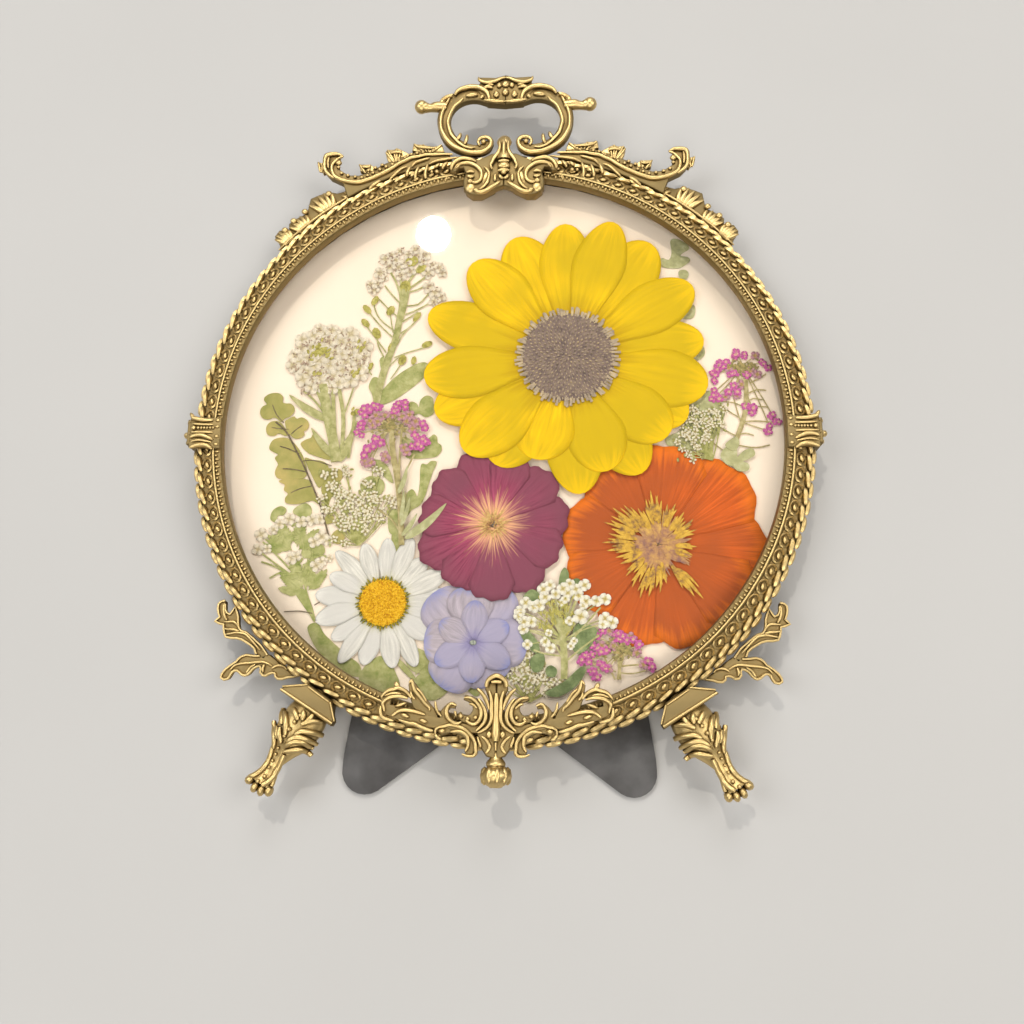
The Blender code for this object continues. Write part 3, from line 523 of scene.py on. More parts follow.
def add_blossom(shape, number, x, y, z, size, petals=4, turn=0.0, fullness=1.0, rows=4, columns=2):
    """A small open blossom with its petals around a point."""
    for step in range(petals):
        add_petal(shape, number * petals + step, (x, y), turn + 360 / petals * step, size * 0.05, size,
                  size * fullness, z + 0.02 * step, 0.62, 2.2, 0.3, 0.04, 0.03, rows=rows, columns=columns)


def add_pod(shape, x, y, z, length, width, turn):
    """A flat bud or seed pod."""
    add_bead(shape, x, y, z, (length / 2, width / 2, 0.14), turn, segments=8, rings=6)


def strew_pods(shape, dice, count, spot, spread, z, length, width, turn=(0, 180)):
    """Pods strewn about a spot. Where length or turn is a pair, it is drawn between the two."""
    def draw(value):
        return dice.uniform(*value) if isinstance(value, tuple) else value
    for _ in range(count):
        add_pod(shape, spot[0] + dice.gauss(0, spread[0]), spot[1] + dice.gauss(0, spread[1]), z,
                draw(length), width, draw(turn))


def add_piece(name, shape, finish, slot, *replaced, body="frame", sheet=False, fit=True):
    """Turns a shape into a piece of the object that rides on a body, its drawn plan fitted to the ring."""
    if fit:
        aside = 0.0 if slot == "brass" else PLAN_SHIFT[0]
        bmesh.ops.transform(shape, verts=shape.verts,
                            matrix=Matrix.Translation((aside * MM, PLAN_SHIFT[1] * MM, 0))
                            @ Matrix.Diagonal((PLAN_SCALE, PLAN_SCALE, 1, 1)))
    if not sheet:
        bmesh.ops.recalc_face_normals(shape, faces=shape.faces)
    mesh = bpy.data.meshes.new(name)
    shape.to_mesh(mesh)
    shape.free()
    piece = bpy.data.objects.new(name, mesh)
    bpy.context.scene.collection.objects.link(piece)
    mesh.materials.append(finish)
    mesh.shade_smooth()
    if sheet:
        wall = piece.modifiers.new("thickness", "SOLIDIFY")
        wall.thickness = bpy.context.scene.frame_sizes.petal_thickness
        wall.offset = 0
    else:
        mesh.set_sharp_from_angle(angle=math.radians(48))
    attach(piece, body)
    if replaced:
        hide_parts(*replaced)
    return piece


def add_sides(name, build, node, drawn=1, fit=True):
    """A casting for the right and its mirror image for the left. It is drawn on the side given."""
    for side, sign in (("right", drawn), ("left", -drawn)):
        shape, ground = new_shape(), new_shape()
        build(shape, ground)
        for part in (shape, ground):
            bmesh.ops.scale(part, vec=(sign, 1, 1), verts=part.verts)
        add_piece(f"{name}_{side}", shape, brass(), "brass", f"{node}_{side}", fit=fit)
        add_piece(f"{name}_ground_{side}", ground, shaded_brass(), "brass", fit=fit)


def finish_named(name, make, *args, **kwargs):
    return bpy.data.materials.get(name) or make(name, *args, **kwargs)


def brass():
    return finish_named("antique_brass", brass_finish)


# Brass for the grounds and the ring's body, darkened as painted shade with patina
def shaded_brass():
    return finish_named("shaded_brass", brass_finish, shade=0.62)


# ---- the ring ----
def spin_copies(shape, faces, count):
    bmesh.ops.spin(shape, geom=faces, axis=UP, cent=(0, 0, 0), angle=math.tau, steps=count,
                   use_duplicate=True, use_merge=True)


class FRAME_OT_ring(bpy.types.Operator):
    """Turned ring with its toothed inner edge, its rail and its row of berries and rods"""
    bl_idname = "flower_frame.ring"
    bl_label = "Ring"

    def execute(self, context):
        sizes = context.scene.frame_sizes
        inner = sizes.opening_radius / MM
        shape = new_shape()
        profile = [(inner, 10.42), (inner, 12.5), (inner + 0.3, 13.0), (77.9, 13.05), (78.8, 12.9),
                   (79.2, 12.3), (81.4, 12.1), (82.8, 11.4), (83.8, 10.0), (83.9, 8.2), (83.7, 3.1),
                   (83.5, 3.0), (79.5, 3.0), (79.4, 3.1), (79.4, 10.4)]
        corners = [shape.verts.new((r * MM, 0, z * MM)) for r, z in profile]
        edges = [shape.edges.new(pair) for pair in zip(corners, corners[1:] + corners[:1])]
        bmesh.ops.spin(shape, geom=corners + edges, axis=UP, cent=(0, 0, 0), angle=math.tau, steps=220,
                       use_merge=True)
        add_piece("ring_moulding", shape, shaded_brass(), "brass", "ring", fit=False)

        shape = new_shape()
        rail = bmesh.ops.create_circle(shape, segments=8, radius=0.34 * MM,
                                       matrix=Matrix.Translation((78.3 * MM, 0, 13.3 * MM))
                                       @ Matrix.Rotation(math.radians(90), 4, "X"))["verts"]
        loop = list({edge for corner in rail for edge in corner.link_edges})
        bmesh.ops.spin(shape, geom=rail + loop, axis=UP, cent=(0, 0, 0), angle=math.tau, steps=240,
                       use_merge=True)
        add_piece("ring_rail", shape, brass(), "brass", fit=False)

        shape = new_shape()
        add_bead(shape, 77.3, 0, 13.15, (0.8, 0.33, 0.42), 0, -8, 7, 4)
        add_bead(shape, *ring_spot(77.6, 180 / sizes.milled_teeth), 13.2, 0.42, segments=6, rings=4)
        spin_copies(shape, shape.faces[:], sizes.milled_teeth)
        add_piece("ring_teeth", shape, brass(), "brass", fit=False)

        shape = new_shape()
        upper = ((-1.48, 82.85, 11.8, 0.4), (-1.05, 82.75, 12.0, 0.72), (0, 82.45, 12.15, 0.84),
                 (1.05, 82.15, 12.0, 0.72), (1.48, 82.05, 11.85, 0.4))
        lower = ((0.2, 83.9, 10.1, 0.4), (0.65, 83.9, 10.3, 0.74), (1.64, 83.85, 10.4, 0.88),
                 (2.63, 83.8, 10.3, 0.74), (3.08, 83.75, 10.1, 0.4))
        add_rods(shape, [[(*ring_spot(reach, turn), z, radius) for turn, reach, z, radius in row]
                         for row in (upper, lower)], 6)
        spin_copies(shape, shape.faces[:], sizes.ring_units)
        add_piece("ring_berries", shape, brass(), "brass", fit=False)

        shape = new_shape()
        rim = [(80.3 + 1.3 * math.cos(turn), 1.85 * math.sin(turn), 12.5 - 0.2 * math.cos(turn), 0.34)
               for turn in (math.radians(36 * i + 25) for i in range(10))]
        add_rods(shape, [rim], 5)
        add_bead(shape, 80.3, 0, 12.4, (0.6, 1.15, 0.55), 18, 0, 6, 5)
        spin_copies(shape, shape.faces[:], sizes.ring_units)
        bmesh.ops.rotate(shape, cent=(0, 0, 0), verts=shape.verts,
                         matrix=Matrix.Rotation(math.radians(60 / sizes.ring_units), 3, "Z"))
        add_piece("ring_inner_berries", shape, brass(), "brass", fit=False)
        return {"FINISHED"}


# ---- castings ----
class FRAME_OT_handle(bpy.types.Operator):
    """Loop handle of two channelled scrolls under a shell, with a ball on each side"""
    bl_idname = "flower_frame.handle"
    bl_label = "Handle"

    def execute(self, context):
        ground, shape, z = new_shape(), new_shape(), 12.4
        add_band(ground, [(-4.4, 91.2, 1.1), (-5.6, 89.4, 1.5), (-8.6, 88.5, 1.6), (-12.5, 89.4, 1.8),
                          (-16.0, 91.9, 1.95), (-18.0, 96.0, 2.0), (-18.2, 100.4, 2.0), (-16.2, 104.3, 2.0),
                          (-12.6, 106.9, 2.2), (-8.4, 107.3, 2.2), (-4.6, 105.4, 1.6)], 9.9, z - 0.3, 0.6)
        add_plate(ground, [(0, 113.4), (-3.0, 112.5), (-7.9, 112.8), (-7.4, 111.2), (-9.2, 108.9),
                           (-5.4, 103.8), (0, 103.3)], 9.8, z, 0.4)
        add_ridges(shape, z, 0.58, [
            (-16.8, 105.6), (-17.6, 103.8), (-18.5, 101.6), (-19.05, 99.5), (-19.2, 97.1), (-19.0, 95.1),
            (-18.2, 93.2), (-17.15, 91.4), (-15.5, 89.6), (-13.35, 88.2), (-11.0, 87.2), (-9.0, 87.0),
            (-6.8, 87.1), (-5.3, 87.95), (-4.4, 89.0), (-4.0, 90.3), (-4.3, 91.3), (-5.3, 92.0),
            (-6.6, 92.0), (-7.5, 91.5), (-7.9, 90.5), (-7.3, 89.3)])
        add_ridges(shape, z, 0.45, [
            (-12.7, 105.5), (-13.8, 104.15), (-15.1, 102.95), (-16.0, 101.2), (-16.6, 99.5), (-17.05, 97.3),
            (-16.7, 95.6), (-16.2, 93.8), (-15.4, 92.5), (-13.0, 89.8), (-10.5, 88.6), (-8.8, 88.8)],
            [(-14.6, 91.0), (-13.6, 92.2), (-13.1, 93.6)], [(-11.9, 89.8), (-11.4, 91.4), (-11.2, 93.0)])
        add_ridges(shape, z + 0.2, 0.58, [
            (-15.2, 106.5), (-14.6, 107.6), (-13.5, 108.4), (-12.0, 108.9), (-10.1, 109.2), (-8.1, 108.9),
            (-6.8, 108.2), (-5.6, 107.3), (-5.1, 106.2), (-4.8, 105.1), (-4.9, 104.3)])
        add_ridges(shape, z + 0.5, 0.42, [
            (-8.1, 112.2), (-7.9, 111.3), (-7.0, 110.7), (-5.8, 110.3), (-4.5, 110.4), (-2.9, 110.8),
            (-1.4, 111.65), (0, 112.0)], [(-6.8, 108.2), (-5.4, 108.9), (-3.8, 108.5)],
            [(-6.3, 104.4), (-3.4, 103.9), (0, 103.8)])
        for x, y, z_off, half, turn in (
                (-10.1, 106.4, 0.2, (2.0, 0.75, 0.6), 8), (-6.3, 90.5, 0.1, (0.8, 0.8, 0.7), 0),
                (-2.7, 106.4, 0.3, (1.0, 1.25, 0.7), 0), (-1.9, 109.5, 0.3, (0.8, 0.9, 0.6), 0),
                (-7.0, 105.7, 0.2, (0.9, 0.6, 0.5), 40), (-4.6, 109.7, 0.3, (1.2, 0.5, 0.5), 0)):
            add_bead(shape, x, y, z + z_off, half, turn)
        add_rods(shape, [smooth([(-17.6, 103.0, 11.6, 1.5), (-20.5, 103.2, 11.6, 1.6),
                                 (-22.5, 102.9, 11.6, 1.25), (-23.6, 103.0, 11.6, 1.5),
                                 (-24.6, 103.2, 11.6, 1.6)])], 12)
        add_bead(shape, -25.2, 103.3, 11.6, (2.1, 2.1, 1.8), segments=16, rings=10)
        add_leaf(shape, (-19.7, 103.4), (-15.4, 107.3), 2.3, z - 0.5, 1.0, 0.2, 0.5)
        add_leaf(shape, (-18.8, 104.6), (-15.8, 106.2), 1.3, z - 0.1, 0.9, 0.2, 0.3)
        mirror_across(ground, shape)
        add_bead(shape, 0, 107.1, z + 0.4, (1.1, 1.3, 0.8))
        add_bead(shape, 0, 109.9, z + 0.3, (1.2, 1.1, 0.6))
        add_piece("handle_scrolls", shape, brass(), "brass", "handle")
        add_piece("handle_ground", ground, shaded_brass(), "brass")
        return {"FINISHED"}


class FRAME_OT_clasp(bpy.types.Operator):
    """Cartouche over the ring's top, with a vase above and two heavy curled lobes below"""
    bl_idname = "flower_frame.clasp"
    bl_label = "Clasp"

    def execute(self, context):
        ground, shape, z = new_shape(), new_shape(), 15.9
        add_plate(ground, [(0, 84.8), (3.6, 84.6), (7.6, 82.6), (9.4, 83.1), (12.0, 83.5), (14.0, 82.6),
                           (15.5, 80.6), (15.4, 79.0), (13.9, 78.9), (13.0, 80.0), (11.8, 80.2), (11.0, 78.4),
                           (11.8, 76.0), (11.6, 73.4), (9.6, 71.5), (7.0, 71.0), (4.0, 72.4), (1.6, 73.7),
                           (0, 74.2)], 13.2, z - 0.3, 0.5)
        add_plate(ground, [(2.6, 74.4), (6.6, 72.2), (9.2, 72.2), (11.2, 73.8), (11.2, 76.4), (6.0, 79.4)],
                  10.6, 13.4, 0.3)
        add_ridges(shape, z, 0.5, [
            (13.7, 79.6), (12.9, 80.7), (12.0, 81.2), (10.7, 81.3), (9.4, 81.0), (8.1, 80.3), (7.0, 79.3),
            (6.4, 78.0), (6.4, 76.8), (6.8, 75.7), (7.6, 75.0), (8.6, 74.9), (9.7, 75.3)],
            [(8.1, 81.7), (9.2, 82.3), (10.4, 82.6), (12.0, 82.8), (13.3, 82.3), (14.5, 81.4), (15.2, 80.1),
             (15.2, 79.2)],
            [(1.1, 75.1), (2.5, 74.0), (3.7, 73.2), (5.1, 72.2), (6.5, 71.8), (7.5, 71.9), (8.5, 72.5)])
        add_ridges(shape, z, 0.4, [
            (5.7, 80.0), (4.7, 78.9), (4.2, 77.6), (4.35, 76.4), (4.7, 75.0), (5.3, 74.1), (6.1, 73.2),
            (7.0, 72.7)], [(2.4, 77.8), (2.5, 76.5), (2.5, 75.3)], [(1.3, 77.5), (0.9, 76.5), (0, 76.1)],
            [(10.7, 77.3), (9.6, 76.7), (8.5, 77.0)], [(8.6, 78.2), (9.7, 78.6), (10.8, 78.2)])
        add_ridges(shape, z + 0.5, 0.45, [(1.3, 88.0), (1.2, 86.5), (1.2, 85.5), (1.6, 84.3), (2.3, 83.2),
                                          (3.0, 82.2), (3.4, 81.2), (3.8, 80.2), (3.3, 78.9)], [
            (-1.6, 81.4), (0, 81.5), (1.6, 81.4)], [(-1.7, 78.4), (0, 78.5), (1.7, 78.4)])
        for x, y, z_off, half, turn in (
                (9.7, 75.3, 0.1, (0.95, 0.8, 0.6), 0), (7.9, 72.4, 0.1, (1.0, 0.6, 0.5), 20),
                (9.6, 73.6, -0.4, (1.6, 1.7, 0.6), 0), (5.2, 77.0, -0.5, (1.2, 2.6, 0.6), 20),
                (13.2, 80.9, -0.4, (1.7, 0.9, 0.5), -40)):
            add_bead(shape, x, y, z + z_off, half, turn)
        mirror_across(ground, shape)
        vase = smooth([(0, 91.0, 13.3, 1.5), (0, 89.8, 14.0, 2.0), (0, 88.4, 14.6, 2.1), (0, 86.8, 15.2, 1.3),
                       (0, 85.2, 15.7, 1.4), (0, 83.6, 15.9, 1.9), (0, 82.2, 15.9, 2.3)])
        add_bar(shape, vase, 16, 0.6)
        add_ridges(shape, z + 0.75, 0.5, [(0, 88.3), (0, 86.0), (0, 84.2), (0, 82.1)])
        add_bead(shape, 0, 80.1, z + 0.3, (1.9, 1.2, 0.8))
        add_bead(shape, 0, 77.9, z + 0.3, (0.9, 0.8, 0.7))
        add_piece("clasp_scrolls", shape, brass(), "brass", "clasp")
        add_piece("clasp_ground", ground, shaded_brass(), "brass")
        return {"FINISHED"}


def build_crest_arm(shape, ground):
    """The scrolled arm with its beads and its pointed leaves."""
    z = 11.3
    add_plate(ground, [(15.7, 85.8), (20.8, 84.7), (26.6, 83.0), (32.3, 81.0), (37.7, 78.5), (43.1, 75.7),
                       (46.3, 73.8), (48.0, 78.6), (51.6, 80.4), (53.4, 82.4), (53.8, 86.4), (52.2, 88.1),
                       (49.4, 88.0), (49.8, 85.6), (49.0, 83.0), (46.4, 81.2), (43.4, 81.0), (40.2, 82.2),
                       (36.2, 84.6), (31.0, 87.0), (26.6, 88.6), (20.6, 88.9), (16.6, 88.1)],
              8.6, z - 0.3, 0.4)
    for outline in ([(18.0, 88.4), (18.7, 90.9), (20.3, 90.4), (22.5, 90.5), (24.5, 91.1), (27.4, 91.4),
                     (27.7, 89.1), (25.0, 88.4)],
                    [(28.2, 87.9), (31.0, 89.5), (32.3, 90.1), (33.3, 89.5), (35.2, 89.6), (35.7, 88.8),
                     (35.3, 87.0), (34.3, 84.8), (30.0, 86.4)],
                    [(37.8, 83.0), (40.0, 84.7), (43.4, 84.8), (43.0, 82.6), (40.4, 81.6)],
                    [(53.4, 82.4), (54.2, 85.4), (55.7, 85.8), (55.2, 83.8), (54.0, 82.0)]):
        add_plate(shape, outline, 9.2, z - 0.4, 0.3)
        across, along = zip(*outline)
        foot_x, foot_y = (min(across) + max(across)) / 2, min(along) - 1.0
        add_ridges(shape, z - 0.35, 0.3, *[
            [(foot_x + (x - foot_x) * share, foot_y + (y - foot_y) * share) for share in (0.25, 0.6, 0.95)]
            for x, y in outline if y > (min(along) + max(along)) / 2], ends=0.6)
    add_ridges(shape, z, 0.52, [
        (15.5, 87.3), (18.0, 87.4), (21.3, 87.3), (23.4, 87.3), (25.6, 86.7), (27.6, 86.4), (29.3, 85.5),
        (31.3, 84.5), (33.0, 83.2), (35.0, 81.9), (37.1, 80.8), (39.3, 79.7), (41.5, 78.9), (43.0, 78.5),
        (45.0, 78.5), (47.0, 78.9), (48.7, 79.5), (50.2, 80.4), (51.0, 81.5), (51.4, 83.0), (51.3, 84.5),
        (50.5, 85.6), (49.6, 86.5), (48.3, 87.1)],
        [(48.2, 87.1), (49.6, 87.9), (51.0, 88.0), (52.5, 87.8), (53.4, 87.2), (53.6, 85.6), (53.5, 83.2),
         (52.4, 81.4), (50.6, 79.9)])
    add_ridges(shape, z + 0.15, 0.32, [(52.4, 87.0), (52.6, 85.0), (52.4, 83.2)],
               [(20.8, 89.4), (24.3, 89.6), (26.4, 90.0)], [(30.5, 87.9), (32.4, 88.3), (34.0, 87.9)],
               [(40.0, 83.4), (42.4, 83.4)], [(22.3, 86.1), (24.5, 85.4), (26.5, 84.6), (27.6, 83.2)],
               [(29.0, 83.3), (30.4, 82.7), (31.5, 81.8), (32.6, 80.6), (33.5, 79.6), (34.0, 78.8)],
               [(13.4, 86.2), (17.0, 85.7), (19.1, 85.4), (20.6, 85.0), (22.4, 84.1)])
    beads = [(22.2, 88.3), (24.3, 88.2), (26.1, 87.9), (27.8, 87.5), (29.6, 86.5), (31.4, 85.5), (33.3, 84.3),
             (35.2, 83.5), (37.0, 82.6), (39.0, 81.5), (40.6, 80.7), (42.3, 80.0), (44.3, 80.3), (46.5, 80.8),
             (48.4, 81.6), (49.4, 83.6), (36.4, 84.1), (38.4, 83.2), (40.4, 82.4)]
    for x, y in beads:
        add_bead(shape, x, y, z - 0.05, (0.62, 0.55, 0.5), segments=8, rings=5)
    add_ridges(shape, 12.9, 0.4, [(22.6, 83.0), (23.2, 80.2), (23.0, 78.2)], [(25.2, 82.2), (26.0, 80.2),
                                                                             (26.2, 78.2)],
               [(14.4, 83.0), (15.1, 81.9), (15.2, 80.8)], [(16.7, 83.6), (17.8, 82.5), (18.2, 81.4)],
               [(19.0, 83.2), (20.0, 82.3), (20.4, 81.8)], [(27.6, 82.4), (28.5, 80.5), (28.6, 79.2)],
               [(36.4, 77.9), (38.2, 76.6), (39.6, 75.2)])
    for x, y, half in ((19.8, 80.5, 0.7), (21.3, 80.5, 0.5), (14.6, 78.9, 0.6), (16.8, 78.2, 0.6),
                       (18.1, 78.4, 0.5)):
        add_bead(shape, x, y, 12.9, half)
    add_bead(shape, 49.4, 85.0, z, (1.0, 0.9, 0.7))


def build_shoulder_leaf(shape, ground):
    """Overlapping leaf clusters along the ring's outer edge."""
    z = 8.7
    outer = [(87.5, 41.6), (90.6, 42.2), (91.0, 43.6), (89.2, 45.0), (90.6, 45.8), (90.2, 47.9),
             (89.6, 49.6), (92.8, 51.9), (92.2, 53.5), (91.4, 55.4), (89.5, 56.5), (88.0, 60.0),
             (86.6, 64.0), (85.7, 71.8)]
    inner = [(84.4, 72.0 - 4.6 * i) for i in range(8)]
    rim = [ring_spot(*spot) for spot in outer + inner]
    add_plate(ground, rim, 5.6, z - 0.4, 0.3)
    for turn, reach, span in ((43.2, 89.8, 1.5), (47.2, 89.5, 2.0), (53.2, 91.2, 2.4), (58.6, 88.0, 1.8)):
        for step in range(5):
            spread = (step - 2) / 2
            root, tip = ring_spot(85.4, turn + 0.4 * spread * span), ring_spot(
                reach + 0.9 - 0.9 * spread * spread, turn + spread * span)
            add_leaf(shape, root, tip, 2.1, z - 0.4, 1.1, 0.2, 0.3, 0.15)
    add_ridges(shape, z + 0.1, 0.34, [ring_spot(86.2, 40.6 + 2.5 * i) for i in range(9)],
               [ring_spot(85.6, 63.0 + 1.6 * i) for i in range(5)])
    for x, y in ((65.0, 63.4), (62.6, 66.4), (59.4, 69.4), (52.6, 75.2)):
        add_bead(shape, x * 0.985, y * 0.985, z + 0.2, (1.0, 0.9, 0.6))


def build_side_band(shape, ground):
    """The strap that wraps the ring at mid height."""
    face = 13.85
    add_plate(ground, [(76.3, -5.6), (84.9, -5.2), (84.9, 3.4), (76.3, 3.2)], face - 1.2, face, 0.3)
    add_plate(ground, [(84.4, -4.3), (85.7, -4.3), (85.7, 2.8), (84.4, 2.8)], 6.1, face - 0.4, 0.3)
    add_ridges(shape, face + 0.2, 0.5,
               [(84.9, 4.4), (84.3, 3.4), (83.9, 3.0), (82.5, 2.6), (80.8, 2.4), (78.6, 2.4)],
               [(84.6, -2.6), (83.3, -2.0), (81.5, -1.9), (80.0, -2.4), (78.2, -3.2)],
               [(84.4, -5.5), (82.8, -4.8), (81.0, -4.6), (79.5, -5.0), (78.2, -5.8)])
    add_ridges(shape, face + 0.15, 0.3, [(84.4, -1.0), (82.0, -1.0), (78.4, -1.1)],
               [(84.2, 1.4), (82.0, 1.2), (78.4, 1.1)], [(84.2, -3.7), (82.0, -3.3), (78.6, -3.9)])
    for x, half in ((83.7, 0.75), (82.5, 0.5), (81.6, 0.48), (80.8, 0.48), (80.0, 0.46), (79.2, 0.46),
                    (78.4, 0.44)):
        add_bead(shape, x, 0.2, face + 0.15, (half, half, half * 0.9), segments=8, rings=5)
    for y in (-3.6, -1.2, 2.2):
        add_rods(shape, [smooth([(84.4, y, face - 0.2, 0.5), (85.6, y, face - 1.4, 0.55),
                                 (85.8, y, 11.0, 0.5), (85.7, y, 7.0, 0.4)])], 6)
    add_bead(shape, 86.4, -0.9, 10.4, (1.25, 1.0, 1.3))
    for y in (-4.4, -2.2, 0.6, 2.4):
        add_bead(shape, 77.3, y, face, (0.7, 0.5, 0.4), segments=8, rings=5)


def build_acanthus(shape, ground):
    """The spray of two curled leaves at the ring's lower side."""
    z = 9.2
    leaf = [(-73.9, -45.9), (-75.0, -46.2), (-75.6, -46.8), (-75.7, -48.0), (-75.4, -49.3), (-75.0, -50.3),
            (-75.6, -50.9), (-76.2, -51.5), (-75.0, -52.0), (-73.8, -52.3), (-73.7, -53.4), (-73.4, -54.6),
            (-73.0, -55.6), (-71.5, -55.9), (-70.0, -55.9), (-68.5, -56.3), (-67.3, -57.0), (-66.0, -57.8),
            (-65.0, -58.7), (-64.4, -60.2), (-62.4, -61.6), (-61.4, -60.4), (-63.2, -58.0), (-65.5, -56.0),
            (-67.6, -54.4), (-69.0, -54.0), (-69.6, -53.2), (-69.9, -51.8), (-70.0, -50.3), (-70.4, -49.0),
            (-71.0, -47.6), (-71.7, -48.8), (-72.3, -49.6), (-73.2, -49.2), (-73.7, -48.2), (-73.8, -46.8)]
    spray = [(-63.4, -60.7), (-64.6, -60.7), (-65.7, -60.6), (-67.0, -60.4), (-68.2, -60.8), (-69.0, -61.4),
             (-69.6, -62.2), (-70.6, -62.9), (-71.6, -63.6), (-72.6, -64.5), (-73.3, -65.6), (-73.4, -66.4),
             (-72.6, -66.9), (-71.6, -66.7), (-71.0, -65.9), (-70.6, -65.0), (-70.0, -64.5), (-69.2, -64.5),
             (-68.6, -64.9), (-68.0, -65.5), (-67.2, -65.8), (-66.4, -65.6), (-65.8, -65.0), (-65.0, -64.0),
             (-64.0, -63.4), (-63.2, -63.3), (-62.9, -64.0), (-63.0, -64.9), (-62.3, -65.7), (-61.5, -65.8),
             (-60.7, -65.3), (-59.8, -65.0), (-59.0, -65.2), (-58.9, -66.0), (-58.2, -66.6), (-57.0, -66.6),
             (-55.8, -66.2), (-54.0, -66.0), (-53.2, -65.8)]
    add_plate(ground, leaf, 6.9, z - 0.3, 0.25)
    add_plate(ground, spray + [(-55.5, -64.6), (-58.0, -62.4), (-61.0, -60.2)], 6.9, z - 0.3, 0.25)
    add_rods(shape, [[(x, y, z - 0.2, 0.4) for x, y in line] for line in (leaf[:20], leaf[21:], spray)], 6)
    add_ridges(shape, z, 0.3, [(-74.2, -47.0), (-74.0, -49.0), (-73.4, -50.6), (-72.9, -51.2)],
               [(-73.8, -51.7), (-72.5, -51.6), (-71.2, -51.6), (-70.2, -52.3), (-69.6, -53.2)],
               [(-73.7, -53.4), (-72.5, -53.6), (-71.0, -53.7), (-69.5, -54.0)],
               [(-73.0, -55.0), (-72.0, -54.8), (-70.4, -54.5), (-69.0, -54.6), (-67.6, -55.0),
                (-66.0, -56.4), (-64.6, -57.9), (-63.4, -59.2)],
               [(-71.0, -64.3), (-70.0, -63.2), (-68.8, -62.8), (-67.5, -62.6), (-66.0, -62.5),
                (-64.2, -62.3), (-62.5, -62.2), (-61.0, -62.7), (-59.8, -63.4)],
               [(-64.4, -62.9), (-65.6, -63.6), (-66.3, -64.6), (-66.8, -65.3)],
               [(-62.0, -62.9), (-62.4, -64.0), (-62.2, -65.0)],
               [(-60.0, -64.0), (-59.0, -63.3), (-57.8, -63.1), (-56.6, -63.4), (-55.9, -64.2)])


# The left leg's calf as (place along its line, half width)
CALF = [(84.0, 5.0), (89.0, 5.0), (92.0, 5.9), (96.0, 6.1), (99.5, 5.2), (102.8, 3.3), (106.6, 1.8),
        (109.4, 2.3), (112.0, 3.6), (114.6, 3.6)]


def calf_height(x, y):
    """Height of the leg's top above a spot on its left-hand plan."""
    along, across = Vector((LEG_X, LEG_Y)), Vector((-LEG_Y, LEG_X))
    spot = Vector((x, y - LEG_START))
    u, v = spot.dot(along), spot.dot(across)
    for (a, wide), (b, narrow) in zip(CALF, CALF[1:]):
        if a <= u <= b:
            half = wide + (narrow - wide) * (u - a) / (b - a)
            return 9.5 + 0.72 * math.sqrt(max(0.3, half * half - v * v))
    return 10.2


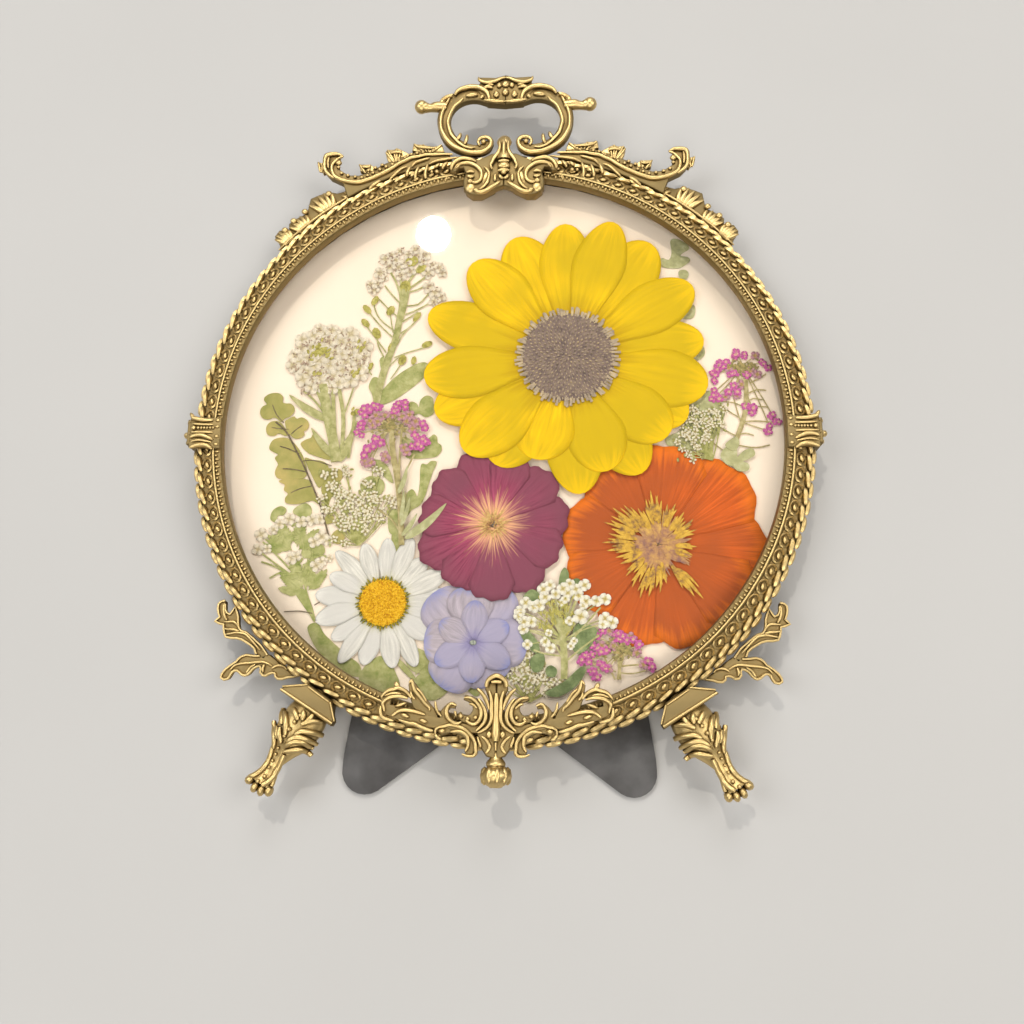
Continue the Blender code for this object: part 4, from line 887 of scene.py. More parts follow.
def build_leg(shape, ground):
    """The leg's flat capital, its fluted and beaded calf, and its paw."""
    z = 9.5
    add_plate(ground, [(-56.4, -69.8), (-55.2, -68.9), (-48.7, -68.4), (-43.0, -72.2), (-41.8, -77.8),
                       (-42.5, -78.8)], 10.2, 13.8, 0.4)
    add_plate(ground, [(-55.0, -70.2), (-48.7, -68.4), (-43.0, -72.2), (-43.6, -77.4)], 5.2, 10.4, 0.4)
    add_ridges(shape, 13.9, 0.32, [(-55.9, -69.6), (-49.0, -73.9), (-42.1, -78.2)], ends=0.8)
    add_ridges(shape, 13.85, 0.2, [(-48.7, -69.0), (-46.0, -70.9), (-43.2, -72.8)],
               [(-55.5, -68.9), (-49.0, -68.4)], [(-42.9, -72.8), (-41.6, -77.6)], ends=0.8)
    core = [(LEG_X * u, LEG_Y * u + LEG_START, z, half * 0.94) for u, half in CALF[1:-1]]
    add_bar(shape, smooth(core, 3), 18, 0.72)
    fans = ([(-50.0, -78.5), (-48.0, -77.7), (-45.2, -77.6)],
            [(-51.5, -81.0), (-50.0, -80.2), (-48.0, -80.4), (-46.2, -80.8), (-45.0, -81.2)],
            [(-53.5, -82.8), (-52.0, -81.8), (-50.3, -81.7), (-48.5, -82.3), (-46.6, -83.4)],
            [(-54.2, -84.0), (-52.5, -83.0), (-51.0, -82.7), (-49.5, -83.0), (-48.3, -83.9), (-47.5, -84.5)],
            [(-54.3, -85.3), (-52.5, -84.9), (-51.0, -84.7), (-49.5, -85.0), (-48.3, -85.8), (-47.8, -86.3)],
            [(-56.0, -74.2), (-55.8, -76.0), (-55.2, -78.5)],
            [(-55.0, -75.3), (-54.3, -77.2), (-54.0, -79.2), (-54.1, -81.1)],
            [(-55.8, -79.2), (-55.8, -80.9), (-55.2, -82.9)], [(-57.0, -79.0), (-56.3, -82.0)],
            [(-58.3, -77.5), (-58.0, -79.0), (-57.4, -81.5), (-57.3, -83.0), (-57.6, -84.5)],
            [(-57.8, -84.0), (-58.3, -86.0), (-59.3, -88.3), (-60.5, -90.0), (-62.2, -91.2), (-63.4, -91.5)],
            [(-59.8, -93.6), (-58.6, -93.0), (-57.3, -91.5), (-56.5, -90.0)],
            [(-54.5, -86.0), (-56.0, -89.0), (-57.0, -91.0), (-57.6, -94.0)],
            [(-52.6, -74.4), (-51.6, -76.0), (-51.0, -77.4)],
            [(-47.2, -75.8), (-48.0, -77.0), (-49.0, -78.2)],
            [(-49.8, -75.0), (-49.6, -76.2), (-49.9, -77.4)])
    rods = [[(x, y, calf_height(x, y), r) for x, y, _, r in ridge(line, 0, 0.58, 0.7)] for line in fans]
    add_rods(shape, rods, 8)
    for x, y, half in ((-50.4, -76.2, 0.6), (-51.8, -77.9, 0.62), (-53.1, -79.7, 0.62), (-54.3, -81.4, 0.55),
                       (-55.3, -82.9, 0.5), (-56.1, -84.4, 0.48), (-56.8, -85.9, 0.46), (-57.6, -87.5, 0.44),
                       (-58.4, -89.2, 0.42), (-59.3, -91.4, 0.6), (-60.8, -92.6, 0.6)):
        add_bead(shape, x, y, calf_height(x, y) + 0.1, half, segments=8, rings=6)
    add_bead(shape, -63.3, -92.2, z + 0.2, (1.7, 1.3, 1.7), 30)
    add_bead(shape, -61.9, -94.0, z + 0.3, (1.1, 1.8, 1.7), -35)
    add_bead(shape, -60.2, -94.8, z + 0.3, (1.1, 1.8, 1.7), -25)
    add_bead(shape, -58.4, -95.0, z + 0.2, (1.2, 1.6, 1.6), -10)


class FRAME_OT_castings(bpy.types.Operator):
    """Arms, shoulder leaves, side straps, leaf sprays and paw legs, right and left"""
    bl_idname = "flower_frame.castings"
    bl_label = "Side Castings"

    def execute(self, context):
        add_sides("arm", build_crest_arm, "crest_arm")
        add_sides("shoulder", build_shoulder_leaf, "shoulder_leaf", fit=False)
        add_sides("strap", build_side_band, "side_band", fit=False)
        add_sides("leaf_spray", build_acanthus, "acanthus", drawn=-1)
        add_sides("paw_leg", build_leg, "leg", drawn=-1)
        return {"FINISHED"}


class FRAME_OT_crest(bpy.types.Operator):
    """Pierced crest at the ring's foot, with volutes, leaves, scrolls and a finial"""
    bl_idname = "flower_frame.crest"
    bl_label = "Bottom Crest"

    def execute(self, context):
        ground, shape, z = new_shape(), new_shape(), 15.9
        add_band(ground, [(-9.6, -75.4, 0.7), (-8.2, -76.8, 0.9), (-6.0, -76.6, 1.2), (-4.8, -74.6, 1.2),
                          (-5.6, -72.4, 1.0), (-8.2, -71.4, 0.7)], 14.3, z - 0.25)
        add_band(ground, [(-3.0, -79.4, 1.0), (-8.0, -79.0, 1.1), (-12.4, -78.0, 1.1), (-13.6, -75.8, 0.8),
                          (-12.0, -73.6, 0.7), (-10.3, -73.8, 0.5)], 14.3, z - 0.3)
        add_band(ground, [(-12.6, -77.8, 1.0), (-17.0, -77.6, 1.5), (-21.0, -76.6, 1.6), (-25.0, -75.4, 1.6),
                          (-28.0, -74.2, 1.3), (-27.8, -71.6, 1.2), (-25.4, -70.4, 0.9), (-22.6, -71.4, 0.7)],
                 14.3, z - 0.25)
        add_band(ground, [(-14.4, -80.0, 1.0), (-11.6, -79.2, 1.0), (-8.4, -80.0, 1.0), (-6.4, -82.0, 1.0),
                          (-6.1, -84.4, 1.0), (-7.6, -85.4, 0.6)], 13.4, z - 0.5)
        add_plate(ground, [(-22.6, -68.2), (-21.6, -67.0), (-20.0, -69.0), (-17.6, -72.2), (-15.6, -74.4),
                           (-14.6, -76.8), (-18.4, -76.8), (-21.2, -74.0), (-22.2, -71.0)], 14.3, z - 0.3)
        add_plate(ground, [(0, -66.2), (-2.3, -66.9), (-3.0, -69.2), (-1.9, -72.0), (-2.2, -76.5),
                           (-4.8, -80.4), (-4.0, -83.6), (-2.4, -86.0), (0, -86.6)], 14.2, z - 0.3, 0.5)
        add_ridges(shape, z, 0.42, [
            (-29.3, -71.5), (-28.4, -70.4), (-27.5, -69.8), (-26.2, -69.5), (-25.0, -69.2), (-23.2, -70.0),
            (-22.3, -70.9), (-21.7, -71.7)],
            [(-28.4, -75.1), (-28.7, -73.9), (-28.9, -73.0), (-28.0, -72.0), (-26.9, -71.5), (-25.3, -71.3),
             (-24.0, -71.4), (-22.5, -71.8)],
            [(-29.4, -73.8), (-29.4, -75.2), (-28.9, -76.5), (-27.7, -77.0), (-26.0, -77.4)],
            [(-26.4, -76.2), (-25.0, -75.1), (-24.0, -74.8), (-22.3, -74.8), (-20.2, -75.2), (-18.0, -75.8)],
            [(-24.6, -77.2), (-22.0, -78.0), (-20.8, -78.1), (-19.0, -78.9), (-16.9, -79.6), (-15.8, -79.8)],
            [(-22.3, -68.0), (-21.65, -67.2), (-21.3, -68.5), (-20.8, -69.8), (-19.8, -71.0), (-18.8, -72.2),
             (-18.0, -73.2), (-17.1, -73.9), (-16.8, -74.8)],
            [(-10.1, -73.5), (-11.0, -73.0), (-11.9, -73.3), (-12.5, -74.3), (-12.6, -75.5), (-12.1, -76.7),
             (-11.0, -77.6), (-9.8, -78.0), (-8.8, -77.5)],
            [(-8.2, -71.5), (-6.9, -71.5), (-5.8, -72.0), (-4.7, -73.0), (-3.9, -74.4), (-3.8, -75.9),
             (-4.3, -77.2), (-5.3, -78.0), (-6.4, -78.0), (-7.4, -77.3), (-7.3, -76.6)],
            [(-4.9, -69.2), (-3.8, -70.2), (-2.9, -71.4), (-2.2, -73.0), (-1.8, -74.5)],
            [(-4.6, -71.7), (-3.6, -73.0), (-2.9, -74.5), (-2.6, -76.0), (-2.9, -77.5), (-3.8, -78.6),
             (-5.0, -79.7)],
            [(-1.9, -69.8), (-1.5, -70.8), (-1.2, -72.5), (-1.2, -74.5), (-1.1, -76.0), (-1.3, -77.4),
             (-2.0, -78.6), (-3.3, -79.6), (-4.6, -80.2)])
        add_ridges(shape, z - 0.05, 0.3, [(-28.5, -71.2), (-27.0, -70.6), (-25.5, -70.5), (-24.2, -70.8)],
                   [(-20.5, -69.2), (-19.3, -70.2), (-18.4, -71.5), (-17.8, -72.6)],
                   [(-21.9, -70.0), (-21.5, -71.2), (-20.7, -72.0)],
                   [(-15.5, -72.5), (-15.3, -74.0), (-14.8, -75.2), (-13.8, -76.2)],
                   [(-6.9, -73.0), (-5.8, -73.3), (-4.8, -74.2)], [(-10.5, -74.8), (-10.1, -76.2)],
                   [(-4.6, -81.2), (-4.0, -83.0), (-3.8, -83.8)])
        add_ridges(shape, z - 0.35, 0.42, [
            (-15.3, -80.7), (-15.3, -79.6), (-14.5, -78.9), (-13.3, -78.7), (-11.9, -78.3), (-10.3, -78.5),
            (-9.0, -78.9), (-7.7, -79.5), (-6.7, -80.4), (-5.8, -81.5), (-5.2, -82.8), (-5.1, -84.1),
            (-5.0, -85.2), (-5.9, -85.9), (-7.5, -85.8), (-8.5, -85.4)],
            [(-11.5, -80.0), (-9.5, -79.8), (-8.4, -80.2), (-7.3, -81.0), (-7.0, -82.3), (-7.0, -83.6),
             (-7.7, -84.8)], [(-15.5, -80.5), (-14.8, -81.4), (-13.7, -81.9)],
            [(-3.6, -81.0), (-2.4, -82.0), (-1.6, -83.3), (-1.7, -84.3), (-2.6, -85.2)])
        for x, y, half, turn in ((-24.3, -73.4, (1.7, 0.45, 0.5), 18), (-23.1, -76.1, (1.3, 0.55, 0.5), -20),
                                 (-18.4, -77.4, (1.2, 0.55, 0.5), -20), (-8.9, -76.1, (0.65, 0.65, 0.5), 0),
                                 (-7.2, -76.8, (0.65, 0.65, 0.5), 0), (-5.2, -76.4, (0.6, 0.6, 0.5), 0),
                                 (-13.6, -79.8, (0.9, 0.6, 0.5), 10), (-1.7, -80.6, (0.8, 1.0, 0.6), 0),
                                 (-25.4, -68.6, (1.2, 0.7, 0.4), -60)):
            add_bead(shape, x, y, z, half, turn)
        mirror_across(ground, shape)
        add_ridges(shape, z + 0.3, 0.5, [(-2.6, -68.8), (-2.2, -67.3), (-1.0, -66.3), (0, -66.0),
                                         (1.0, -66.3), (2.2, -67.3), (2.6, -68.8)], ends=0.7)
        add_ridges(shape, z + 0.4, 0.35, [(-1.25, -67.6), (0, -67.5), (1.25, -67.6)], ends=0.8)
        add_rods(shape, [smooth([(0, -70.4, z - 0.1, 0.5), (0, -72.5, z - 0.1, 0.8), (0, -76.0, z - 0.1, 0.8),
                                 (0, -78.6, z - 0.1, 1.1), (0, -80.6, z, 1.2), (0, -82.2, z, 0.9)]),
                         [(0, -82.5, z, 0.4), (0, -84.5, z - 0.3, 0.3)]], 10)
        bell = smooth([(0, -84.8, z - 1.4, 0.9), (0, -86.2, z - 1.6, 1.5), (0, -87.2, z - 1.7, 2.3),
                       (0, -88.0, z - 1.7, 2.5), (0, -88.6, z - 1.7, 2.3), (0, -89.2, z - 1.7, 3.4),
                       (0, -90.6, z - 1.7, 4.0), (0, -92.2, z - 1.7, 3.3), (0, -93.6, z - 1.7, 1.4)])
        add_bar(shape, bell, 18, 0.85)
        for step in range(9):
            x, y = ring_spot(3.0, 40 * step)
            add_bead(shape, x, -90.7, z - 1.7 + 0.85 * y, (1.1, 2.3, 1.0), segments=8)
        add_piece("crest_scrolls", shape, brass(), "brass", "bottom_crest")
        add_piece("crest_ground", ground, shaded_brass(), "brass")
        return {"FINISHED"}


# ---- glass, card and back ----
class FRAME_OT_back(bpy.types.Operator):
    """Finishes of the glass, the card, the back board, the clips and the easel"""
    bl_idname = "flower_frame.back"
    bl_label = "Glass, Card and Back"

    def execute(self, context):
        looks = context.scene.frame_colours
        steel = Finish("satin_steel", Metallic=0.55)
        smear = steel.noise(0.06, 4, 0.55)
        speck = steel.noise(6.0, 3, 0.7)
        steel.fill(steel.shader, {
            "Base Color": steel.ramp(smear, (0.3, lighter(looks.steel, -0.3)),
                                     (0.7, lighter(looks.steel, 0.08))),
            "Roughness": steel.ramp(speck, (0.3, 0.34), (0.7, 0.5))})
        steel.relief(speck, 0.3, 0.03)

        card = Finish("mounting_card", Roughness=0.85)
        fibre = card.noise(3.0, 5, 0.7, card.place((1, 0.35, 1)))
        cloud = card.noise(0.03, 3)
        card.fill(card.shader, {"Base Color": card.mix(
            card.ramp(cloud, (0.3, 0.0), (0.7, 0.5)),
            card.ramp(fibre, (0.25, lighter(looks.card, -0.06)), (0.7, tuple(looks.card))),
            lighter(looks.card, 0.2))})
        card.relief(fibre, 0.4, 0.03)

        board = Finish("back_board", Roughness=0.9)
        flock = board.noise(5.0, 4, 0.7)
        board.fill(board.shader, {"Base Color": board.ramp(
            flock, (0.3, lighter(looks.board, -0.4)), (0.7, lighter(looks.board, 0.05)))})
        board.relief(flock, 0.6, 0.08)

        coats = {"glass": glass_finish(), "card": card.material, "back_board": board.material}
        for node in ("easel", "hinge_plate", "hinge_pin", "clip_1", "clip_2", "clip_3", "clip_4"):
            coats[node] = steel.material
        for node, coat in coats.items():
            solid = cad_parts[node]
            for slot in solid.material_slots:
                slot.material = coat
        return {"FINISHED"}


# ---- flower heads ----
class FRAME_OT_yellow_flower(bpy.types.Operator):
    """Large yellow flower with a brown disc"""
    bl_idname = "flower_frame.yellow_flower"
    bl_label = "Yellow Flower"

    def execute(self, context):
        looks = context.scene.flower_colours
        centre, z = (18.3, 24.4), 7.3
        rays = [(17.5, 66.3), (31.6, 66.7), (42.8, 59.5), (53.9, 46.4), (56.7, 30.0), (57.3, 14.9),
                (51.5, 6.1), (45.5, 0.3), (38.4, -10.0), (29.7, -9.1), (20.6, -15.9), (9.1, -5.9),
                (-2.5, -7.0), (-10.4, -3.8), (-18.8, 7.0), (-22.5, 17.8), (-22.0, 37.8), (-9.6, 53.8),
                (2.9, 62.0)]
        shape = new_shape()
        dice = random.Random(4)
        for number, (x, y) in enumerate(rays):
            dx, dy = x - centre[0], y - centre[1]
            reach = math.hypot(dx, dy)
            add_petal(shape, number, centre, math.degrees(math.atan2(dy, dx)), 9.5, reach,
                      dice.uniform(15.2, 17.6), z + 0.12 * (number % 2), 0.6, dice.uniform(1.5, 2.1), 0.42,
                      0.04, 0.02, dice.uniform(-0.8, 0.8), rows=14, columns=8)
        finish = petal_finish("yellow_petal", tuple(looks.yellow), lighter(looks.yellow, -0.45),
                              tuple(looks.yellow), veins=12, contrast=0.22, heart_to=0.2,
                              other=tint(204, 172, 18), fade=(14, 50))
        add_piece("yellow_petals", shape, finish, "yellow_petal", "yellow_flower_petals", sheet=True)

        shape = new_shape()
        bmesh.ops.create_cone(shape, cap_ends=True, segments=40, radius1=13.3 * MM, radius2=12.4 * MM,
                              depth=0.5 * MM, matrix=Matrix.Translation(Vector((*centre, 7.85)) * MM))
        coat = plant_finish("dark_disc", tint(132, 114, 104), tint(104, 90, 86), tint(150, 132, 112), 0.5)
        add_piece("yellow_flower_ground", shape, coat, "brown_disc")
        shape = new_shape()
        for x, y, reach, turn in disc_spots(430, 13.4):
            add_bead(shape, centre[0] + x, centre[1] + y, 8.05 + 0.25 * (1 - (reach / 14) ** 2)
                     + dice.uniform(-0.05, 0.05), (0.46, 0.24, 0.34), turn, segments=5, rings=4)
        for number in range(84):
            turn = 360 / 84 * number + dice.uniform(-1.5, 1.5)
            inner, outer = dice.uniform(12.2, 12.9), dice.uniform(13.9, 15.3)
            add_bar(shape, [(*ring_spot(inner, turn, centre), 8.0, 0.34),
                            (*ring_spot(outer, turn + dice.uniform(-1.5, 1.5), centre), 7.9, 0.42)], 5, 0.6)
        coat = plant_finish("brown_disc", tuple(looks.brown), lighter(looks.brown, -0.4),
                            tint(204, 182, 140), 0.35)
        add_piece("yellow_flower_heart", shape, coat, "brown_disc", "yellow_flower_disc")
        return {"FINISHED"}


class FRAME_OT_rose(bpy.types.Operator):
    """Burgundy bloom with a golden heart"""
    bl_idname = "flower_frame.rose"
    bl_label = "Burgundy Bloom"

    def execute(self, context):
        looks = context.scene.flower_colours
        centre, z = (-2.3, -24.2), 6.9
        shape = new_shape()
        for number in range(11):
            turn = 8 + 360 / 11 * number
            add_fan(shape, number, centre, turn, 21, 1.0, 20.9 + 0.8 * math.sin(2.4 * number),
                    z + 0.1 * (number % 3), 0.84, 0.016, 5, 0.04, 0.03)
        finish = petal_finish("burgundy_petal", tuple(looks.burgundy), tint(236, 180, 132),
                              tint(130, 74, 88), veins=15, contrast=0.6, heart_to=0.26, bump=0.05, ragged=1.3,
                              other=tint(132, 74, 90), edge_from=0.45)
        add_piece("rose_petals", shape, finish, "burgundy_petal", "rose_bloom", sheet=True)
        shape = new_shape()
        dice = random.Random(7)
        for number in range(70):
            x, y = ring_spot(2.7 * math.sqrt(dice.random()), dice.uniform(0, 360))
            add_bead(shape, centre[0] + x, centre[1] + y, z + 0.35, (0.38, 0.26, 0.2), dice.uniform(0, 180),
                     segments=5, rings=4)
        for number in range(30):
            turn = 12 * number + dice.uniform(-4, 4)
            add_ray(shape, centre, (1.6, turn), (dice.uniform(3.4, 5.6), turn), 0.5, z + 0.3, 0.1)
        coat = plant_finish("rose_heart", tint(206, 168, 104), tint(140, 96, 66), tint(228, 196, 130), 0.9)
        add_piece("rose_heart", shape, coat, "stamens")
        return {"FINISHED"}


class FRAME_OT_cosmos(bpy.types.Operator):
    """Orange flower with a ragged ochre tuft"""
    bl_idname = "flower_frame.cosmos"
    bl_label = "Orange Flower"

    def execute(self, context):
        looks = context.scene.flower_colours
        centre, z = (42.6, -29.9), 6.15
        tips = [(71.6, -31.5), (66.5, -10.5), (47.5, -1.8), (28.0, -7.0), (17.0, -24.0), (19.5, -43.0),
                (34.0, -56.5), (52.5, -56.5), (66.0, -46.0)]
        shape = new_shape()
        for number, (x, y) in enumerate(tips):
            dx, dy = x - centre[0], y - centre[1]
            add_fan(shape, number, centre, math.degrees(math.atan2(dy, dx)), 25, 1.0, math.hypot(dx, dy),
                    z + 0.08 * (number % 3), 0.86, 0.012, 6, 0.03, 0.02, columns=16)
        for corner in shape.verts:
            reach = corner.co.xy.length
            if reach > SHEET_RADIUS * MM:
                corner.co.xy *= SHEET_RADIUS * MM / reach
        finish = petal_finish("orange_petal", tuple(looks.orange), lighter(looks.orange, -0.25),
                              tint(240, 122, 30), veins=22, contrast=0.34, heart_to=0.15, bump=0.05,
                              other=tint(172, 86, 42), fade=(58, 22))
        add_piece("cosmos_rays", shape, finish, "orange_petal", "cosmos_petals", sheet=True)
        shape = new_shape()
        dice = random.Random(11)
        for number in range(130):
            turn = dice.uniform(0, 360)
            add_ray(shape, centre, (dice.uniform(0, 4), turn),
                    (dice.uniform(5.0, 10.2), turn + dice.uniform(-14, 14)),
                    dice.uniform(0.7, 1.4), z + dice.uniform(0.5, 0.9), 0.14, dice.uniform(-0.6, 0.6))
        coat = plant_finish("mauve_stamens", tint(186, 140, 96), tint(142, 104, 96), tint(214, 172, 92), 0.5)
        add_piece("cosmos_core", shape, coat, "stamens")
        shape = new_shape()
        prongs = [(95, 12.8), (88, 11.5), (102, 11.0), (128, 12.0), (138, 13.4), (146, 12.6), (155, 13.4),
                  (165, 11.6), (176, 12.8), (185, 11.8), (205, 9.8), (222, 10.4), (236, 11.6), (248, 13.0),
                  (256, 12.2), (268, 11.0), (278, 9.0), (306, 15.6), (300, 12.4), (20, 9.4), (35, 10.0),
                  (50, 9.6), (65, 10.4), (75, 9.8), (340, 8.0), (355, 8.6), (116, 9.6), (195, 10.2)]
        for turn, reach in prongs:
            for lean, part in ((-3, 0.9), (2, 1.0), (6, 0.84)):
                add_ray(shape, centre, (reach * 0.5, turn), (reach * part * 1.2, turn + lean),
                        dice.uniform(0.9, 1.3), z + dice.uniform(0.8, 1.1), 0.16, dice.uniform(-0.5, 0.5))
        coat = plant_finish("ochre_stamens", tint(206, 162, 66), tint(132, 98, 70), tint(226, 184, 78), 0.5)
        add_piece("cosmos_tuft", shape, coat, "stamens", "cosmos_stamens")
        return {"FINISHED"}


class FRAME_OT_daisy(bpy.types.Operator):
    """White daisy with a golden disc"""
    bl_idname = "flower_frame.daisy"
    bl_label = "White Daisy"

    def execute(self, context):
        looks = context.scene.flower_colours
        centre, z = (-31.8, -45.9), 6.15
        dice = random.Random(5)
        shape = new_shape()
        for number in range(17):
            add_petal(shape, number, centre, 4 + 360 / 17 * number + dice.uniform(-3, 3), 5.6,
                      18.2 + 1.6 * math.sin(2.4 * number), dice.uniform(4.9, 6.2), z + 0.12 * (number % 2),
                      0.55, dice.uniform(1.3, 1.9), 0.5, 0.05, 0.03, dice.uniform(-0.8, 0.8), 0.07)
        finish = petal_finish("white_petal", tuple(looks.white), tint(204, 200, 178), tint(226, 223, 214),
                              veins=7, contrast=0.24, heart_to=0.16, bump=0.05,
                              other=tint(208, 205, 198))
        add_piece("daisy_rays", shape, finish, "white_petal", "daisy_petals", sheet=True)
        shape = new_shape()
        bmesh.ops.create_cone(shape, cap_ends=True, segments=32, radius1=6.5 * MM, radius2=5.9 * MM,
                              depth=0.5 * MM, matrix=Matrix.Translation(Vector((*centre, 6.75)) * MM))
        for x, y, reach, turn in disc_spots(240, 6.5):
            add_bead(shape, centre[0] + x, centre[1] + y, 7.0 + 0.2 * (1 - (reach / 7) ** 2),
                     (0.33, 0.24, 0.3), turn, segments=5, rings=4)
        coat = plant_finish("golden_disc", tuple(looks.gold), tint(176, 104, 12), tint(252, 214, 70), 1.6)
        add_piece("daisy_heart", shape, coat, "golden_disc", "daisy_disc")
        shape = new_shape()
        for number in range(46):
            turn = 360 / 46 * number
            add_ray(shape, centre, (6.0, turn), (dice.uniform(7.0, 8.0), turn + dice.uniform(-4, 4)), 0.7,
                    z + 0.5, 0.12)
        coat = plant_finish("daisy_bracts", tint(128, 124, 44), tint(70, 78, 30), tint(214, 176, 50), 1.4)
        add_piece("daisy_bracts", shape, coat, "green_leaf")
        return {"FINISHED"}


class FRAME_OT_hydrangea(bpy.types.Operator):
    """Lavender floret of sheer overlapping petals"""
    bl_idname = "flower_frame.hydrangea"
    bl_label = "Lavender Floret"

    def execute(self, context):
        looks = context.scene.flower_colours
        z = 6.5
        shape = new_shape()
        outer = [((-14.5, -50.0), 130, 15, 14), ((-2.0, -49.0), 65, 15, 14), ((1.5, -56.0), 0, 12, 13),
                 ((-4.0, -64.0), -60, 10, 13), ((-13.5, -63.0), -125, 12, 13), ((-15.0, -57.0), 178, 11, 12),
                 ((-8.0, -47.5), 95, 13, 13)]
        for number, ((x, y), turn, length, width) in enumerate(outer):
            add_petal(shape, number, (-7.1 + (x + 7.1) * 0.1, -56.6 + (y + 56.6) * 0.1), turn, 1.0,
                      length + 1.5, width, z + 0.05 * number, 0.62, 2.6, 0.3, 0.03, 0.03)
        for number in range(6):
            add_petal(shape, number + 9, (-7.1, -56.6), 28 + 60 * number, 0.6, 10.6 + 0.8 * (number % 2), 7.4,
                      z + 0.42 + 0.05 * number, 0.55, 1.5, 0.25, 0.03, 0.03)
        finish = petal_finish("lavender_petal", tuple(looks.lavender), tint(166, 158, 198),
                              tint(146, 154, 214), veins=10, contrast=0.26, heart_to=0.2, bump=0.04,
                              sheer=0.4, other=tint(190, 184, 212))
        add_piece("hydrangea_petals", shape, finish, "lavender_petal", "hydrangea_floret", sheet=True)
        shape = new_shape()
        add_bead(shape, -7.1, -56.6, z + 0.8, (0.9, 0.7, 0.3))
        coat = plant_finish("lavender_heart", tint(150, 156, 140), tint(92, 96, 110), tint(190, 196, 180), 2)
        add_piece("hydrangea_heart", shape, coat, "lavender_petal")
        return {"FINISHED"}


# Tall white sprig: blossoms as (x, y), stems as (width, line), pods as (x, y, length, width, turn)
TALL_HEADS = (
    (-33.6, 57.6), (-31.2, 58.8), (-28.6, 57.6), (-26, 57.4), (-24.2, 55.4), (-29.2, 55.2), (-34, 53.8),
    (-21.2, 54.2), (-19.4, 53.4), (-18.4, 51.6), (-35.6, 50.4), (-36.8, 51.8), (-38.4, 46.4), (-39.4, 48.2),
    (-37.2, 48.4), (-22.2, 47.2), (-20.4, 45.6), (-18.6, 44), (-20.6, 42.6), (-27.8, 52.2), (-30.6, 51),
    (-32.2, 56), (-22.6, 51.6), (-26.6, 59.4), (-23.6, 57.6), (-35.4, 56.4), (-31.4, 53.6))
TALL_STEMS = (
    (2, ((-29.6, 46.6), (-29.8, 42), (-30.5, 37), (-31.4, 31), (-33.2, 25))),
    (2.2, ((-33, 26), (-34.6, 20), (-35.8, 14), (-36.4, 9))),
    (1.1, ((-31, 47.5), (-30.2, 43), (-30.8, 36))),
    (1.3, ((-28.4, 47.5), (-28.8, 43), (-30, 37))),
    (0.8, ((-29.8, 45), (-28.4, 48.6), (-26.4, 52), (-24.6, 55))),
    (0.7, ((-29.8, 45), (-30.6, 49), (-30.2, 53.4))),
    (0.6, ((-30.6, 45), (-32, 49), (-34, 52.6))),
    (0.6, ((-28.6, 46.4), (-24.6, 49.4), (-21, 52.4))),
    (0.5, ((-28.6, 45.6), (-25.6, 46.4), (-23.2, 47.8))),
    (0.45, ((-30.4, 42), (-33.4, 45.4), (-35.2, 47.8))),
    (0.45, ((-29.2, 41.4), (-25.2, 41.8), (-22.2, 45.2))),
    (0.45, ((-29.6, 38.4), (-26.4, 39.6), (-22, 42))),
    (0.45, ((-30.2, 36), (-27.4, 37.8), (-25.2, 39.4))),
    (0.45, ((-30.4, 32.4), (-27.2, 34.8), (-25.6, 36.8))),
    (0.4, ((-31, 29), (-29.4, 32.2), (-27.4, 34.8))),
    (0.4, ((-32, 33.6), (-36.2, 37.2), (-38, 41), (-38, 43.6))),
    (0.4, ((-32.4, 31.6), (-36.6, 35.8), (-39.6, 39.6))),
    (0.4, ((-31, 37.8), (-34, 40.6), (-36.8, 43.6))),
    (0.4, ((-34, 26.8), (-37, 31), (-39.4, 34.2), (-40.4, 35.8))),
    (0.4, ((-34.6, 25.4), (-36.4, 29), (-37, 32.4))),
    (0.35, ((-32.2, 33), (-32.8, 36), (-33.2, 38.6))),
    (0.4, ((-31.6, 25.2), (-27.6, 26.8), (-23, 28.2))),
    (0.35, ((-33.4, 22), (-31.4, 24.2), (-29.6, 26))),
    (0.35, ((-32.4, 18.6), (-30.6, 21.4), (-28.4, 25.2))))
TALL_PODS = (
    (-40.1, 40.3, 3.6, 1.9, -50), (-40.4, 36, 3.4, 1.9, -50), (-37.9, 43, 3.4, 1.9, 62),
    (-37, 32.8, 3.8, 2.4, -66), (-33.2, 39.8, 3.4, 2.3, 60), (-22.2, 29.2, 3.4, 2, 22),
    (-25.4, 37.8, 3.6, 1.7, 55), (-32.6, 28.2, 3.6, 1.8, 75), (-29.2, 24.4, 3.4, 2.4, 70),
    (-25.9, 24.2, 2.8, 1.6, 80), (-29.2, 47.2, 4.6, 3.4, 80), (-27.6, 55.6, 4.4, 3.6, 20),
    (-24.6, 53, 3.6, 2.2, 40), (-38.6, 22.2, 3.6, 1.6, 60))
